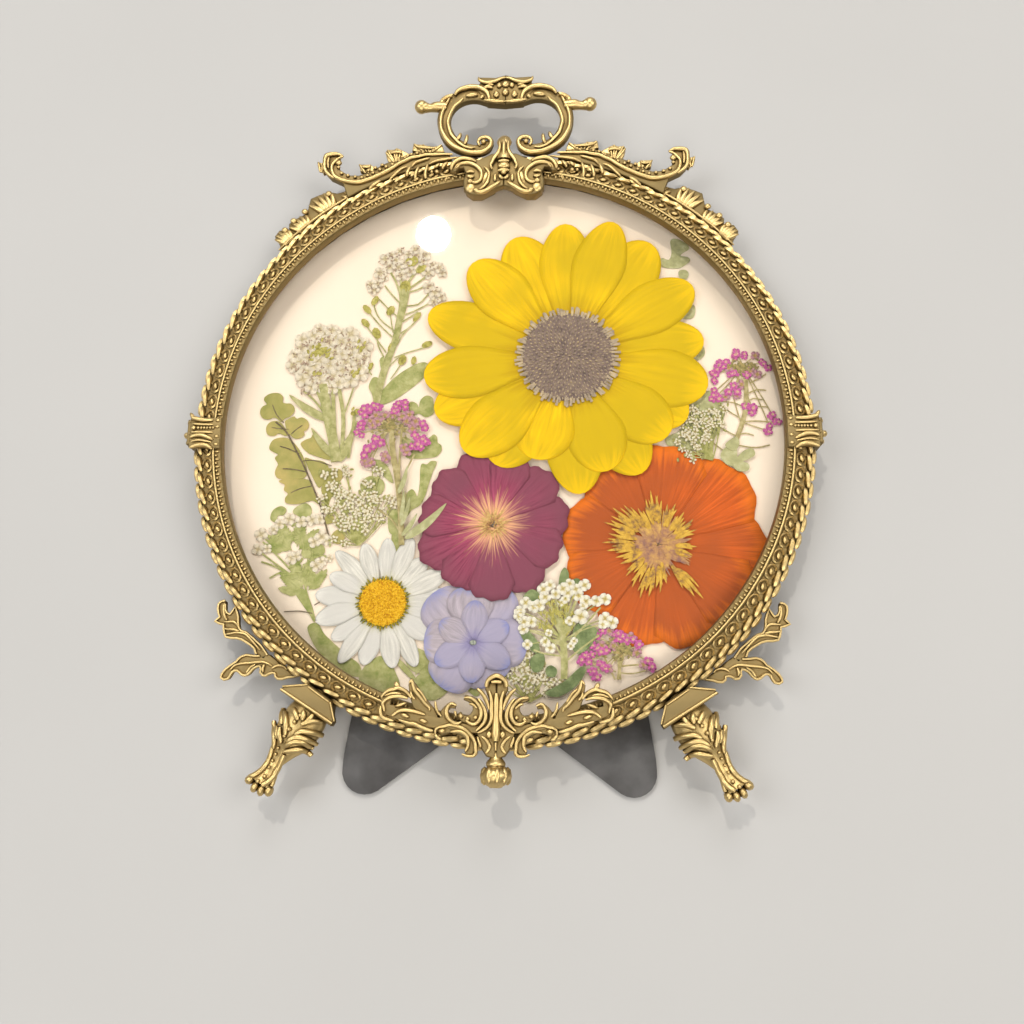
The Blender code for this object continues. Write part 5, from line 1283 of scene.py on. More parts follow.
# Round white head: specks as (x, y), stems as (width, line)
ROUND_SPECKS = (
    (-50.4, 30.8), (-57.2, 29.2), (-52.6, 30.4), (-56.8, 23.6), (-59.6, 21.8), (-46, 28.8), (-49.4, 18.6),
    (-53.2, 20.6), (-45, 21.6), (-41, 23.8), (-57, 14.6))
ROUND_STEMS = (
    (3, ((-51.8, 17), (-50.8, 12), (-49.4, 6), (-47.6, -1), (-46.8, -6))),
    (1.2, ((-49, 17), (-48.4, 11), (-47.8, 4), (-46.8, -4))),
    (1.2, ((-47.2, 16), (-45.6, 9), (-45.2, 2), (-45.6, -6))),
    (1.2, ((-54.4, 17), (-52, 12.6), (-50.4, 8))),
    (0.6, ((-57.6, 15.4), (-54, 12.2), (-51, 8.6))),
    (0.5, ((-42, 19.4), (-43.4, 14), (-45, 8.6))),
    (0.4, ((-40.6, 24), (-39, 21.4), (-37.8, 19.8))),
    (0.9, ((-42.2, 8), (-42.6, 2), (-43.4, -5))),
    (0.6, ((-41.4, 6), (-43.4, 1.6), (-45.4, -1.6))))
# Branched white sprig: blossoms as (x, y, size) and the outlines of its leaves
BRANCH_HEADS = (
    (11.5, -42.2, 1.5), (13.3, -41, 1.3), (12, -44.3, 1.4), (14.8, -43.5, 1.3), (16.8, -42, 1.5),
    (18.1, -43.1, 1.4), (17.4, -44.8, 1.1), (20.2, -42.1, 1.3), (20.9, -43.8, 1.4), (22.6, -41, 1.5),
    (22.9, -45.4, 1.5), (22.2, -46.6, 1), (25.7, -45.3, 1.4), (28, -44.8, 1.5), (21.5, -49.5, 1.9),
    (18.5, -50.7, 1.1), (28, -50, 1.6), (29.7, -51, 1.6), (27.3, -51.6, 1.1), (6.8, -45.8, 1.4),
    (5.2, -48.2, 1.4), (5, -49.4, 1.3), (9, -47, 1.4), (10.4, -46.5, 1.5), (6.4, -51, 1.4),
    (8.3, -51, 1.4), (6.2, -52.9, 1.3), (13, -53.9, 0.9), (12, -56.2, 1.2), (13.4, -57.9, 1.3),
    (19.7, -56, 0.9), (18.8, -57.4, 0.9), (7.3, -57, 1.2), (16.3, -45.8, 0.9), (18.6, -40.6, 1.2))
BRANCH_LEAVES = (
    ((15.6, -43), (15.9, -38.4), (17.2, -36.2), (18.4, -38.2), (17.6, -42.6)),
    ((18.8, -42), (19.6, -39.4), (21.4, -39.6), (20.8, -42.6)),
    ((6, -45.6), (6.6, -43.4), (8.6, -42.2), (10.6, -43.6), (10.2, -46), (8, -47.4)),
    ((19.8, -52.4), (21.6, -51.2), (25, -52.2), (25.8, -53.6), (24, -57.4), (20.6, -59.4),
     (19, -57)),
    ((5.4, -53.6), (7.4, -53.2), (10.2, -56.4), (10.4, -59.2), (8.4, -58.6), (6.2, -55.8)),
    ((8, -61.4), (10.4, -58.8), (12, -60.4), (11.2, -63.6), (9, -64.2)),
    ((12.2, -63.4), (13.6, -62.4), (15.2, -63.6), (14.6, -65.4), (12.6, -65.2)),
    ((12, -69.6), (16.8, -66.8), (21.4, -62.8), (22.8, -63.6), (20.4, -67.6), (15.6, -70.6)))


class FRAME_OT_white_sprigs(bpy.types.Operator):
    """Cream blossoms with their stems: the tall sprig, the round head and the branched sprig"""
    bl_idname = "flower_frame.white_sprigs"
    bl_label = "White Sprigs"

    def execute(self, context):
        looks = context.scene.flower_colours
        cream = petal_finish("cream_petal", tuple(looks.cream), tint(206, 190, 150), tint(246, 238, 220),
                             veins=6, contrast=0.16, heart_to=0.34, bump=0.05)
        ivory = petal_finish("ivory_petal", tint(244, 238, 216), tint(206, 188, 120), tint(252, 248, 236),
                             veins=5, contrast=0.12, heart_to=0.3, bump=0.06)
        stem = plant_finish("pale_stem", tint(172, 168, 112), tint(140, 142, 84), tint(200, 192, 146), 0.6)
        bud = plant_finish("green_bud", tint(172, 164, 84), tint(126, 118, 60), tint(204, 190, 120), 0.9)
        speck = plant_finish("brown_speck", tint(176, 154, 132), tint(142, 118, 104),
                             tint(206, 186, 156), 1.5)
        dice = random.Random(21)

        petals, hearts, stems, buds = (new_shape() for _ in range(4))
        for number, (x, y) in enumerate(TALL_HEADS):
            add_blossom(petals, number, x, y, 5.9 + 0.04 * (number % 3), dice.uniform(1.3, 2.1), 4,
                        dice.uniform(0, 90), 0.95)
            strew_pods(hearts, dice, 5, (x, y), (0.6, 0.6), 6.05, 0.7, 0.4)
        for width, line in TALL_STEMS:
            add_stem(stems, 5.85, width, *line)
        for x, y, length, size, turn in TALL_PODS:
            add_pod(buds, x, y, 5.95, length, size, turn)
        add_piece("tall_sprig_blossoms", petals, cream, "cream_blossom", "white_sprig_top", sheet=True)
        add_piece("tall_sprig_specks", hearts, speck, "cream_blossom")
        add_piece("tall_sprig_stems", stems, stem, "green_leaf")
        add_piece("tall_sprig_pods", buds, bud, "green_leaf")

        petals, hearts, stems, buds = (new_shape() for _ in range(4))
        for number, (x, y, _, _) in enumerate(disc_spots(64, 1.0)):
            x, y = -50.4 + 11.0 * x, 24.9 + 9.6 * y
            add_blossom(petals, number, x, y, 6.15 + 0.03 * (number % 5), dice.uniform(1.8, 2.7), 4,
                        dice.uniform(0, 90), 1.0)
            if number % 2:
                strew_pods(hearts, dice, 4, (x, y), (0.5, 0.5), 6.36, 0.7, 0.38)
        for spot in ROUND_SPECKS:
            strew_pods(hearts, dice, 8, spot, (0.8, 0.5), 6.38, 0.9, 0.45)
        strew_pods(buds, dice, 34, (-53.0, 27.0), (1.4, 1.5), 6.4, 1.5, 0.8)
        for spot in ((-41.4, 28.0), (-42.2, 20.0), (-53.4, 19.4), (-40.4, 8.6), (-42.4, 8.4)):
            strew_pods(buds, dice, 6, spot, (0.6, 0.8), 6.4, 1.4, 0.8, 60)
        for width, line in ROUND_STEMS:
            add_stem(stems, 6.1, width, *line)
        for root, tip, width, bend in (((-49.6, 6.2), (-61.4, 14.0), 2.6, 0.6),
                                       ((-47.4, -4.6), (-54.4, 4.0), 2.2, 0.4),
                                       ((-45.6, -6.0), (-42.2, 5.4), 2.2, -0.6)):
            add_leaf(stems, root, tip, width, 6.12, 0.08, 0, bend)
        add_piece("round_head_blossoms", petals, cream, "cream_blossom", "white_cluster_left", sheet=True)
        add_piece("round_head_specks", hearts, speck, "cream_blossom")
        add_piece("round_head_stems", stems, stem, "green_leaf")
        add_piece("round_head_buds", buds, bud, "green_leaf")

        petals, stems, buds, leaves = (new_shape() for _ in range(4))
        for number, (x, y, size) in enumerate(BRANCH_HEADS):
            add_blossom(petals, number, x, y, 7.0 + 0.03 * (number % 4), size * 1.15, 4,
                        dice.uniform(0, 90), 1.15)
            add_stem(stems, 6.95, 0.38, (x, y), ((x + 17.0) / 2 + dice.uniform(-0.6, 0.6), y * 0.6 - 22.0),
                     (16.8, -56.0))
        strew_pods(buds, dice, 90, (14.6, -48.6), (3.0, 2.4), 6.98, (1.0, 2.2), 0.55, (50, 130))
        add_stem(stems, 6.95, 1.9, (17.0, -66.0), (17.1, -60.0), (16.6, -55.0), (15.8, -50.0))
        for line in (((18.0, -61.0), (22.0, -57.6), (26.4, -54.4)),
                     ((17.2, -58.0), (22.0, -52.4), (26.8, -47.0)),
                     ((16.6, -57.6), (12.6, -55.0), (8.0, -53.4)),
                     ((16.6, -60.0), (12.0, -59.4), (9.0, -58.4)),
                     ((17.6, -62.0), (14.6, -57.0), (11.0, -52.0))):
            add_stem(stems, 6.97, 0.5, *line)
        for outline in BRANCH_LEAVES:
            add_leaf_cut(leaves, 6.88, *outline)
        add_piece("branched_sprig_blossoms", petals, ivory, "cream_blossom", "white_cluster_right",
                  sheet=True)
        add_piece("branched_sprig_stems", stems, stem, "green_leaf")
        add_piece("branched_sprig_buds", buds, bud, "green_leaf")
        add_piece("branched_sprig_leaves", leaves, plant_finish(
            "deep_leaf", tint(120, 134, 88), tint(90, 104, 64), tint(150, 160, 112), 0.5), "green_leaf")
        return {"FINISHED"}


# Lace: piece, where its threads meet, height, floret size and its florets
LACE_CLUSTERS = (
    ("lace_left", (-39, -30), 6.2, 1.25, [(-49.2, -9.4), (-47.6, -9.2), (-44.4, -8), (-43.4, -9.4),
     (-46.2, -12.4), (-44.8, -13.8), (-36.2, -8.6), (-34.6, -9.2), (-38.4, -12.4), (-36.6, -13),
     (-43, -15.4), (-41.4, -16.6), (-39, -14.8), (-40, -17.6), (-36.6, -17), (-34.8, -17.6),
     (-45.6, -18.4), (-43.8, -19.4), (-41.6, -19.6), (-38, -19.4), (-36, -20.2), (-33.4, -17.4),
     (-45, -21.6), (-42.6, -22.4), (-40.4, -22), (-38.6, -23), (-36.2, -22.4), (-34, -22.6),
     (-43.4, -25.4), (-45.4, -24), (-40.2, -25), (-37.6, -25.4), (-31, -16.6), (-30.2, -18.6),
     (-48.2, -13), (-50, -17.2), (-42.6, -17.8), (-38.4, -16.8), (-44.6, -16.6), (-37.2, -21.6),
     (-39.6, -20.6), (-41.8, -24), (-35.4, -15.4), (-46.6, -15.4), (-33, -20.4), (-47.2, -19.8),
     (-49.4, -20.4), (-46, -28.6), (-43.6, -29.4)]),
    ("lace_below", (8, -72), 6.2, 1.3, [(-0.8, -62.4), (0.8, -64), (2.6, -62.6), (2.2, -64.6),
     (5, -60.4), (5.8, -61.8), (4.4, -62.6), (6.6, -60), (8, -58.8), (6.4, -63.4), (7.6, -64.2),
     (8.4, -62.8), (10, -62.4), (11.6, -63), (12, -64.6), (6, -66.2), (8, -66.6), (9.8, -67),
     (11.4, -66.2), (13, -67.8), (11.8, -69.2), (16.4, -66.8), (-3.6, -66), (9.4, -64.8), (14.6, -66),
     (3.6, -65.8), (7.4, -68.4), (0, -65.6), (4.4, -59.4), (15.4, -68.4)]),
    ("lace_right", (58, -6), 6.6, 1.1, [(52.4, 8.6), (54, 8), (57.4, 7.8), (59, 8.4), (50.8, 5.6),
     (53, 5.8), (55.8, 5.6), (58, 5.8), (60.2, 5.6), (60.8, 4.2), (51.4, 2.6), (54, 3), (56.4, 2.8),
     (48.6, -0.6), (51.4, 0.4), (54, 0.8), (57, 0.2), (56.4, 1.6), (49.6, -3), (51.4, -4.6),
     (54.4, -2.6), (52.2, -5.2), (61.8, 9.2), (55.4, 7), (53.6, 4.4), (58.6, 4), (52.6, 1.6),
     (50.2, 1), (55.6, -0.8), (53, -1.2), (60, 7.2), (56.8, 4.4), (49.4, 3.8)]))


class FRAME_OT_lace(bpy.types.Operator):
    """Clusters of fine lace florets on threads"""
    bl_idname = "flower_frame.lace"
    bl_label = "Lace Florets"

    def execute(self, context):
        lace = petal_finish("lace_petal", tint(236, 226, 196), tint(168, 150, 96), tint(246, 240, 222),
                            veins=4, contrast=0.12, heart_to=0.3, bump=0.05)
        thread = plant_finish("lace_thread", tint(158, 156, 92), tint(122, 122, 66), tint(190, 184, 128), 0.9)
        dice = random.Random(33)
        for name, root, z, size, spots in LACE_CLUSTERS:
            petals, threads = new_shape(), new_shape()
            for number, (x, y) in enumerate(spots):
                for step in range(2):
                    spot = (x + dice.gauss(0, 0.45), y + dice.gauss(0, 0.45))
                    add_blossom(petals, number * 3 + step, *spot, z + 0.1 + 0.04 * step,
                                size * dice.uniform(0.75, 1.05), 4, dice.uniform(0, 90), 0.62, rows=3)
                middle = ((x + root[0]) / 2 + dice.uniform(-1, 1), (y + root[1]) / 2 + dice.uniform(-1, 1))
                add_stem(threads, z, 0.32, (x, y), middle, root)
                strew_pods(threads, dice, 3, (x, y), (0.8, 0.8), z + 0.02, 1.3, 0.7)
            add_piece(name + "_florets", petals, lace, "cream_blossom", name, sheet=True)
            add_piece(name + "_threads", threads, thread, "green_leaf")
        return {"FINISHED"}


# Pink: piece, node, height, bright and pale blossoms, seeds with their spread, size and stems
PINK_CLUSTERS = (
    ("pink_left", "pink_cluster_left", 6.6, [(-37.6, 9.8), (-35.4, 9.8), (-39.2, 7.6), (-40, 5.2),
     (-40, 2.2), (-39, 9), (-29.6, 10.4), (-28, 11.4), (-27.4, 9.6), (-22.6, 5), (-21.6, 3.4),
     (-24, -0.4), (-22.4, 0.6), (-23, -2), (-35, 0.2), (-36.2, -1.4), (-37.8, -2.6), (-38.6, -4.4),
     (-25, -1.6), (-21.8, -0.6), (-34.4, -0.8), (-30.4, 9.2), (-40.2, 3.6), (-24.4, 1), (-36.4, 10.4),
     (-38.2, 8.6)], [(-36.8, -6.4), (-32.6, -5.4), (-35.4, 5.6), (-26.4, 7.6), (-25.4, 3.4), (-27.2, 5.6),
     (-36.8, 4.6), (-33.4, 7.4), (-38.2, -6.6), (-26.8, -3.4), (-36, 7.4), (-28.6, 7), (-24.6, 5.6),
     (-33, -4.4), (-31.2, 7.8), (-37.6, 5.8), (-38.6, -5.8), (-27.6, -2.2)], ((-31.6, 4), 3.6, 2.4),
     1.35, ((1.7, ((-31.4, 3), (-30.8, -3), (-29.6, -9), (-28.6, -15), (-27.8, -22),
     (-27.3, -30))), (0.7, ((-28.4, 5), (-28.6, -1), (-28.8, -8), (-28.4, -14))), (0.5,
     ((-24.6, -4), (-26.4, -8), (-28.2, -13))), (0.5, ((-33.4, 1), (-31.6, -4), (-29.8, -10))),
     (0.4, ((-37, 1), (-34, 2.6), (-31.6, 3.4))), (0.4, ((-26.6, -15), (-27.2, -20),
     (-27, -27))), (0.5, ((-34.4, -19.8), (-30.6, -22.6), (-28, -26))))),
    ("pink_below", "pink_cluster_below", 6.6, [(26, -54.8), (27.4, -53.4), (30.8, -54), (32.4, -54.6),
     (36.8, -57), (25.2, -57.2), (22.4, -59.4), (21.6, -60.8), (23, -61.4), (26.6, -61.6),
     (24.8, -64.2), (25.6, -65.6), (39, -61), (40.2, -63), (28.2, -58.8), (26.6, -58.2),
     (35.4, -55.4), (31.4, -55.6), (24, -59.8), (27.2, -62.4), (33.6, -55.8)], [(29, -53.2),
     (34.6, -54.8), (28.6, -63.2), (38, -62), (27, -57.2), (30.2, -57.2), (36.2, -59)],
     ((32, -58.4), 2.8, 1.9), 1.3, ((0.9, ((31.6, -66), (31.4, -61), (30.4, -56.6))), (0.7,
     ((31, -66), (32.6, -60), (34.6, -57))), (0.5, ((30.4, -66), (27.6, -60), (26.4, -56))),
     (0.5, ((30.6, -64), (25, -62), (23, -60.4))), (0.5, ((31.6, -62.6), (34.8, -62.2),
     (38.6, -62))), (0.4, ((31.6, -64.2), (35, -64.4), (38.4, -63.6))), (0.5, ((32, -60),
     (35, -59), (37.6, -58.2))))),
    ("pink_right", "pink_cluster_right", 5.85, [(60.8, 22), (63, 23.2), (66, 25.4), (68, 25.2),
     (73, 23), (74.6, 21.4), (59.6, 19.6), (59.8, 17.2), (59.4, 14.2), (58.6, 12.2), (64, 19),
     (66, 19.6), (68.4, 19.2), (63, 14.2), (64.8, 15.6), (66, 14), (61.8, 22.6), (60.2, 20.8),
     (59.8, 12.8), (67.6, 10), (69.6, 9.4), (69.8, 7.8), (75.2, 7.2), (76.2, 5.4), (74.2, 4),
     (73.4, 2.6), (65.2, 24.6)], [(71.2, 25), (71.6, 19.4), (67, 16.4), (62.4, 12.8), (69.6, 20.4),
     (63.6, 21.4), (65.6, 13.2)], ((67.4, 21.8), 2.8, 1.1), 1.3, ((1.4, ((68.2, 18), (68.2, 13),
     (67.6, 8), (66, 3), (64, -2))), (0.4, ((73.8, 14.6), (71, 14.8), (68.2, 13.4))), (0.35,
     ((72.6, 11.8), (70, 12.2), (68, 10.8))), (0.35, ((74.2, 9.6), (71, 9.8), (67.8, 8))), (0.4,
     ((75, 5.2), (70.6, 5.6), (67.2, 5.4))), (0.4, ((73.4, 2.8), (70, 4), (67, 5.2))), (0.4,
     ((74, -1.4), (70, -2.2), (65, -1.4))), (0.35, ((61.4, 11.4), (64.6, 11), (67.6, 9.6))), (0.35,
     ((60.6, 10.4), (63.6, 8.2), (66.8, 6))), (0.35, ((64.6, 13), (65.4, 9), (66.4, 5))), (0.4,
     ((60.4, 4), (63.4, 2), (65.6, 1))), (0.4, ((69.6, 17), (72.4, 18.4), (74, 19.6))), (0.4,
     ((57, 0.6), (59.4, -1.6), (62, -3.6))), (0.4, ((65.4, 19), (67, 17.4), (68.2, 15.4))), (0.35,
     ((69.8, 1.4), (67.6, 2), (65.8, 1.6))))))


class FRAME_OT_pink(bpy.types.Operator):
    """Clusters of pink blossoms with their stems"""
    bl_idname = "flower_frame.pink"
    bl_label = "Pink Blossoms"

    def execute(self, context):
        looks = context.scene.flower_colours
        pink = petal_finish("pink_petal", tuple(looks.pink), tint(232, 196, 160), tint(222, 134, 190),
                            veins=5, contrast=0.3, heart_to=0.26, bump=0.06)
        dusky = petal_finish("dusky_petal", tint(196, 146, 156), tint(190, 160, 96), tint(220, 170, 176),
                             veins=5, contrast=0.3, heart_to=0.3, bump=0.06)
        stem = plant_finish("tan_stem", tint(172, 158, 108), tint(138, 128, 82), tint(198, 184, 140), 0.6)
        seed = plant_finish("olive_seed", tint(152, 142, 88), tint(110, 96, 66), tint(190, 160, 110), 1.0)
        dice = random.Random(17)
        for name, node, z, bright, pale, (seeds, wide, high), size, stalks in PINK_CLUSTERS:
            petals, faded, stems, hearts = (new_shape() for _ in range(4))
            for number, (x, y) in enumerate(bright):
                for step in range(2):
                    add_blossom(petals, number * 2 + step, x + dice.gauss(0, 0.35), y + dice.gauss(0, 0.35),
                                z + 0.1 + 0.06 * step, size * dice.uniform(0.75, 1.0), 4,
                                dice.uniform(0, 90), 1.0, rows=3)
            for number, (x, y) in enumerate(pale):
                add_blossom(faded, number, x, y, z + 0.08, size * 1.1, 4, dice.uniform(0, 90), 1.0, rows=3)
            for width, line in stalks:
                add_stem(stems, z, width, *line)
            for x, y in bright[::2] + pale[::2]:
                middle = ((x + seeds[0]) / 2 + dice.uniform(-0.6, 0.6), (y + seeds[1]) / 2)
                add_stem(stems, z + 0.02, 0.35, (x, y), middle, seeds)
            strew_pods(hearts, dice, 60, seeds, (wide * 0.7, high * 0.7), z + 0.1, (0.9, 1.8), 0.6)
            add_piece(name + "_petals", petals, pink, "pink_blossom", node, sheet=True)
            add_piece(name + "_faded", faded, dusky, "pink_blossom", sheet=True)
            add_piece(name + "_stems", stems, stem, "green_leaf")
            add_piece(name + "_seeds", hearts, seed, "green_leaf")
        return {"FINISHED"}


# Pressed leaves as (height, outline)
OLIVE_FROND = (
    (5.84, ((-68.1, 13.7), (-66.4, 14.5), (-64.4, 14.5), (-63.1, 13.4), (-63.1, 11.9), (-62.2, 11.4),
     (-60.7, 11.3), (-59.6, 10.1), (-59.7, 8.6), (-60.8, 7.4), (-62.2, 6.8), (-63.2, 5.8), (-64.4, 6.8),
     (-65.6, 7.1), (-66.6, 6.6), (-68.2, 6.8), (-69.3, 8), (-69.4, 9.5), (-68.7, 10.6), (-67.7, 11.2),
     (-68.6, 12.5))),
    (5.8, ((-62.1, 5.9), (-61, 6.8), (-59.6, 7.5), (-58.7, 6.8), (-57.3, 7.2), (-55.7, 6.3),
     (-55.1, 4.8), (-55.6, 3.5), (-56.5, 3), (-56.2, 2), (-57.2, 1.1), (-58.6, 0.8), (-59.8, 1.4),
     (-61.4, 3.5))),
    (5.76, ((-66, 6), (-64.3, 6.1), (-62.9, 5.3), (-62, 4.1), (-60.6, 2.3), (-61.8, 1.7),
     (-63.6, 2.4), (-65, 1.7), (-66.7, 2), (-67.4, 3.5), (-67.1, 5))),
    (5.7, ((-66, -1), (-65.2, 0.5), (-63.2, 1.2), (-60.9, 1), (-58.8, -0.7), (-57, -3.1),
     (-55.7, -5.7), (-54.9, -8.9), (-55.6, -10.7), (-58.2, -11), (-61, -11.1), (-63.2, -10.7),
     (-64, -9.2), (-63.6, -7.5), (-63.3, -6.6), (-64.3, -4.8), (-63.5, -3.8), (-65, -3),
     (-66, -2.2))),
    (5.78, ((-61.8, -11.1), (-58.7, -11.1), (-55.3, -11), (-53.6, -11.8), (-52.3, -14.2), (-51, -17.1),
     (-51.1, -18.3), (-52.7, -17.3), (-54.4, -17.6), (-56, -18.1), (-58.3, -18.3), (-60.3, -17.9),
     (-60.6, -16.5), (-59.9, -15.3), (-61.1, -14.2), (-61, -12.7), (-62.6, -11.8))),
    (5.74, ((-57.2, -0.8), (-56, 0.5), (-54.4, 1.1), (-53.8, 2.1), (-52.1, 0.8), (-50.2, -1),
     (-48.5, -2.5), (-47.3, -4.3), (-48.9, -5.4), (-51.2, -4.8), (-53.5, -4), (-55.3, -3.1))),
    (5.82, ((-55.7, -4.8), (-53.4, -5.4), (-51.1, -5.7), (-49.4, -6.6), (-48.7, -8.4), (-49.7, -10.7),
     (-50.2, -12.4), (-51.2, -13.6), (-52.5, -11.8), (-53.7, -9.5), (-54.9, -7.2))),
    (5.66, ((-49.8, -8.4), (-47.6, -7.8), (-45.3, -8.4), (-44.7, -10.1), (-45.7, -12.4), (-46.1, -14.2),
     (-47.7, -16.5), (-48.7, -19.3), (-49.7, -16.5), (-50.6, -14.2), (-50.2, -11.9))),
    (5.8, ((-49.3, -22.5), (-48, -21.1), (-46.6, -21.9), (-47, -23.6), (-48.7, -23.9))),
    (5.84, ((-47, -27.3), (-45.5, -25.6), (-43.8, -26.2), (-43.2, -27.9), (-44.8, -29.6),
     (-46.5, -29))),
    (5.7, ((-50.8, -12.4), (-49.4, -10.2), (-46.4, -9.6), (-45.6, -12.2), (-48, -14.2))))
FROND_VEINS = (
    ((-62.4, 5.6), (-64.6, 8), (-66, 11)),
    ((-60.8, 3.6), (-63.4, 3.8), (-65.8, 4.2)),
    ((-60, 2.2), (-58.6, 3.6), (-57, 4.8)),
    ((-57.4, -3.6), (-60.4, -2.2), (-63, -1.4)),
    ((-56.2, -5.8), (-53.2, -5.6), (-48, -7.2)),
    ((-54.8, -9), (-58.6, -8.2), (-61.8, -8)),
    ((-53, -13), (-56.4, -13.8), (-59, -15)),
    ((-18, -43.2), (-16.4, -41.8), (-15.4, -43.8)),
    ((-58.8, -48.4), (-54.6, -48.2), (-51, -48.8)),
    ((-50.6, -46.6), (-48.6, -45.4), (-46.6, -44.8)))
LOBED_LEAVES = (
    (5.7, ((-27.8, 10.4), (-26.2, 11.8), (-24.6, 11.2), (-24, 10.2), (-23.6, 12.2), (-22, 13.6),
     (-20.2, 13), (-19.8, 11.2), (-19.2, 10), (-20, 8), (-22, 7.1), (-24, 8.2), (-26.4, 7.4))),
    (5.7, ((-28.6, 0.4), (-27, 1.2), (-24, -1), (-20.8, 1), (-19.5, 2), (-18.5, 1.2),
     (-18.3, -0.4), (-17.3, -1.2), (-17.2, -2.9), (-18.6, -4.5), (-21.2, -5), (-24.6, -5.1),
     (-27.4, -4.4))),
    (5.76, ((-23, -8.2), (-22.5, -6.6), (-21.2, -6.8), (-20, -5.8), (-18.4, -6.2), (-19.4, -9),
     (-20.4, -12.4), (-21.4, -16), (-22.8, -18.6), (-25, -20), (-26.8, -22.6), (-27, -18.4),
     (-26.6, -15.4), (-25.2, -14), (-24.2, -14.8), (-23.5, -16), (-23, -12.4))),
    (5.66, ((-36.8, 10.6), (-34.8, 15), (-31, 19.4), (-26.4, 22.6), (-23.2, 23.8), (-21.6, 22.8),
     (-22.4, 19.8), (-25, 17), (-28.2, 14.4), (-31, 12.4), (-34.2, 11))),
    (5.74, ((-38.6, 16.4), (-37.4, 19.2), (-35.2, 18.4), (-34.8, 15), (-36.6, 11.6), (-37.6, 14.2))),
    (5.72, ((-35.8, 24.4), (-34.6, 25.4), (-33.8, 22), (-34.8, 20.8))),
    (5.7, ((-30.2, -26.4), (-28.6, -24.8), (-27.8, -28), (-28.8, -33.4), (-30, -31))),
    (5.8, ((-39.6, -12.2), (-37.2, -10.2), (-34.2, -10.8), (-32.8, -12.6), (-33.4, -15), (-36, -16.2),
     (-38.8, -15.2))),
    (5.74, ((-36.4, -5.6), (-33.6, -5.8), (-31.8, -8), (-30.4, -12), (-32.2, -11.2), (-34.6, -8.6))),
    (5.74, ((-31.4, -21), (-29.4, -19.6), (-27.6, -22.6), (-28.4, -26.8), (-31, -26.2))))
LEFT_LEAVES = (
    (5.7, ((-64.4, -22.4), (-63.8, -20), (-61.6, -18.8), (-60, -19.8), (-60.8, -21.4), (-62.2, -21.6),
     (-63, -23.4))),
    (5.7, ((-58.2, -20.6), (-57, -18.8), (-54.6, -18), (-53, -19.4), (-53.2, -21.6),
     (-55.6, -22))),
    (5.74, ((-55, -31.4), (-53, -29.8), (-49.4, -29.8), (-48.6, -32), (-51, -33.6),
     (-54.4, -33.4))),
    (5.7, ((-56.2, -43), (-53.4, -42.4), (-50.6, -48.6), (-50.4, -51.2), (-52.2, -48.6))))
# Left sprig: leaflets as (x, y, turn, length), stems, and blossoms as (x, y, size)
LEFT_FEATHERS = (
    (-57.5, -31.5, 150, 8), (-58, -30.8, 118, 8.6), (-56.4, -30.6, 84, 8.4), (-56, -31.4, 48, 7.4),
    (-59.6, -31.2, 172, 6), (-54.2, -42.6, 142, 7.6), (-54, -42.2, 112, 9), (-53.2, -42.2, 82, 8.6),
    (-52.6, -42.6, 50, 7), (-55, -43.2, 168, 5.4))
LEFT_STEMS = (
    ((-66, -29), (-62, -32.6), (-57.4, -37.2)),
    ((-66.4, -32), (-62, -35.2), (-57.6, -38.2)),
    ((-66, -34.6), (-62, -36), (-57.4, -38.6)),
    ((-63.4, -39.2), (-60.4, -37.6), (-57.4, -38.4)),
    ((-54.6, -38), (-52.6, -44), (-50.2, -50.6)),
    ((-66.6, -27), (-64.4, -29), (-62, -30.6)))
LEFT_BLOSSOMS = (
    (-66.6, -27, 2), (-67.2, -31.2, 1.8), (-57.6, -33.6, 1.9), (-56.4, -33, 1.6), (-50.6, -35.6, 1.9),
    (-49.4, -34.6, 1.6), (-49.6, -27.6, 2), (-51.6, -29, 1.8), (-52.6, -22.8, 1.8), (-55.6, -23.4, 1.8),
    (-59, -22.6, 1.8), (-61.6, -24, 1.6), (-50.4, -22.6, 1.6), (-64.6, -31, 1.4), (-48, -28.6, 1.5),
    (-47.2, -33.6, 1.2), (-63.2, -25.6, 1.4))
LOW_LEAVES = (
    (5.66, ((-52.2, -52.6), (-49.6, -51.4), (-47.4, -54.4), (-43.8, -57.6), (-41, -60), (-37.6, -62.4),
     (-37, -65.6), (-41.4, -64.8), (-46.4, -61.4), (-50, -57.4))),
    (5.7, ((-37.4, -66.6), (-35.8, -62.6), (-32.4, -60.2), (-29.6, -60.8), (-28, -64), (-26.6, -68.2),
     (-31.6, -69.8))),
    (5.72, ((-26.4, -56.4), (-22.4, -57.8), (-18.6, -59.6), (-16, -61.8), (-18.4, -64.2), (-22, -64.6),
     (-24.8, -62.4))),
    (5.74, ((-22.6, -66.4), (-19.4, -64), (-15.8, -65.4), (-13.4, -68.6), (-16.8, -71.6),
     (-21.4, -70.8))),
    (5.74, ((-19.8, -49.2), (-18.2, -48.6), (-16.2, -49.4), (-16.8, -51.2), (-19.4, -50.8))),
    (5.74, ((-8.6, -68.6), (-7.2, -66), (-5, -66), (-4.4, -68), (-6, -70.6))))
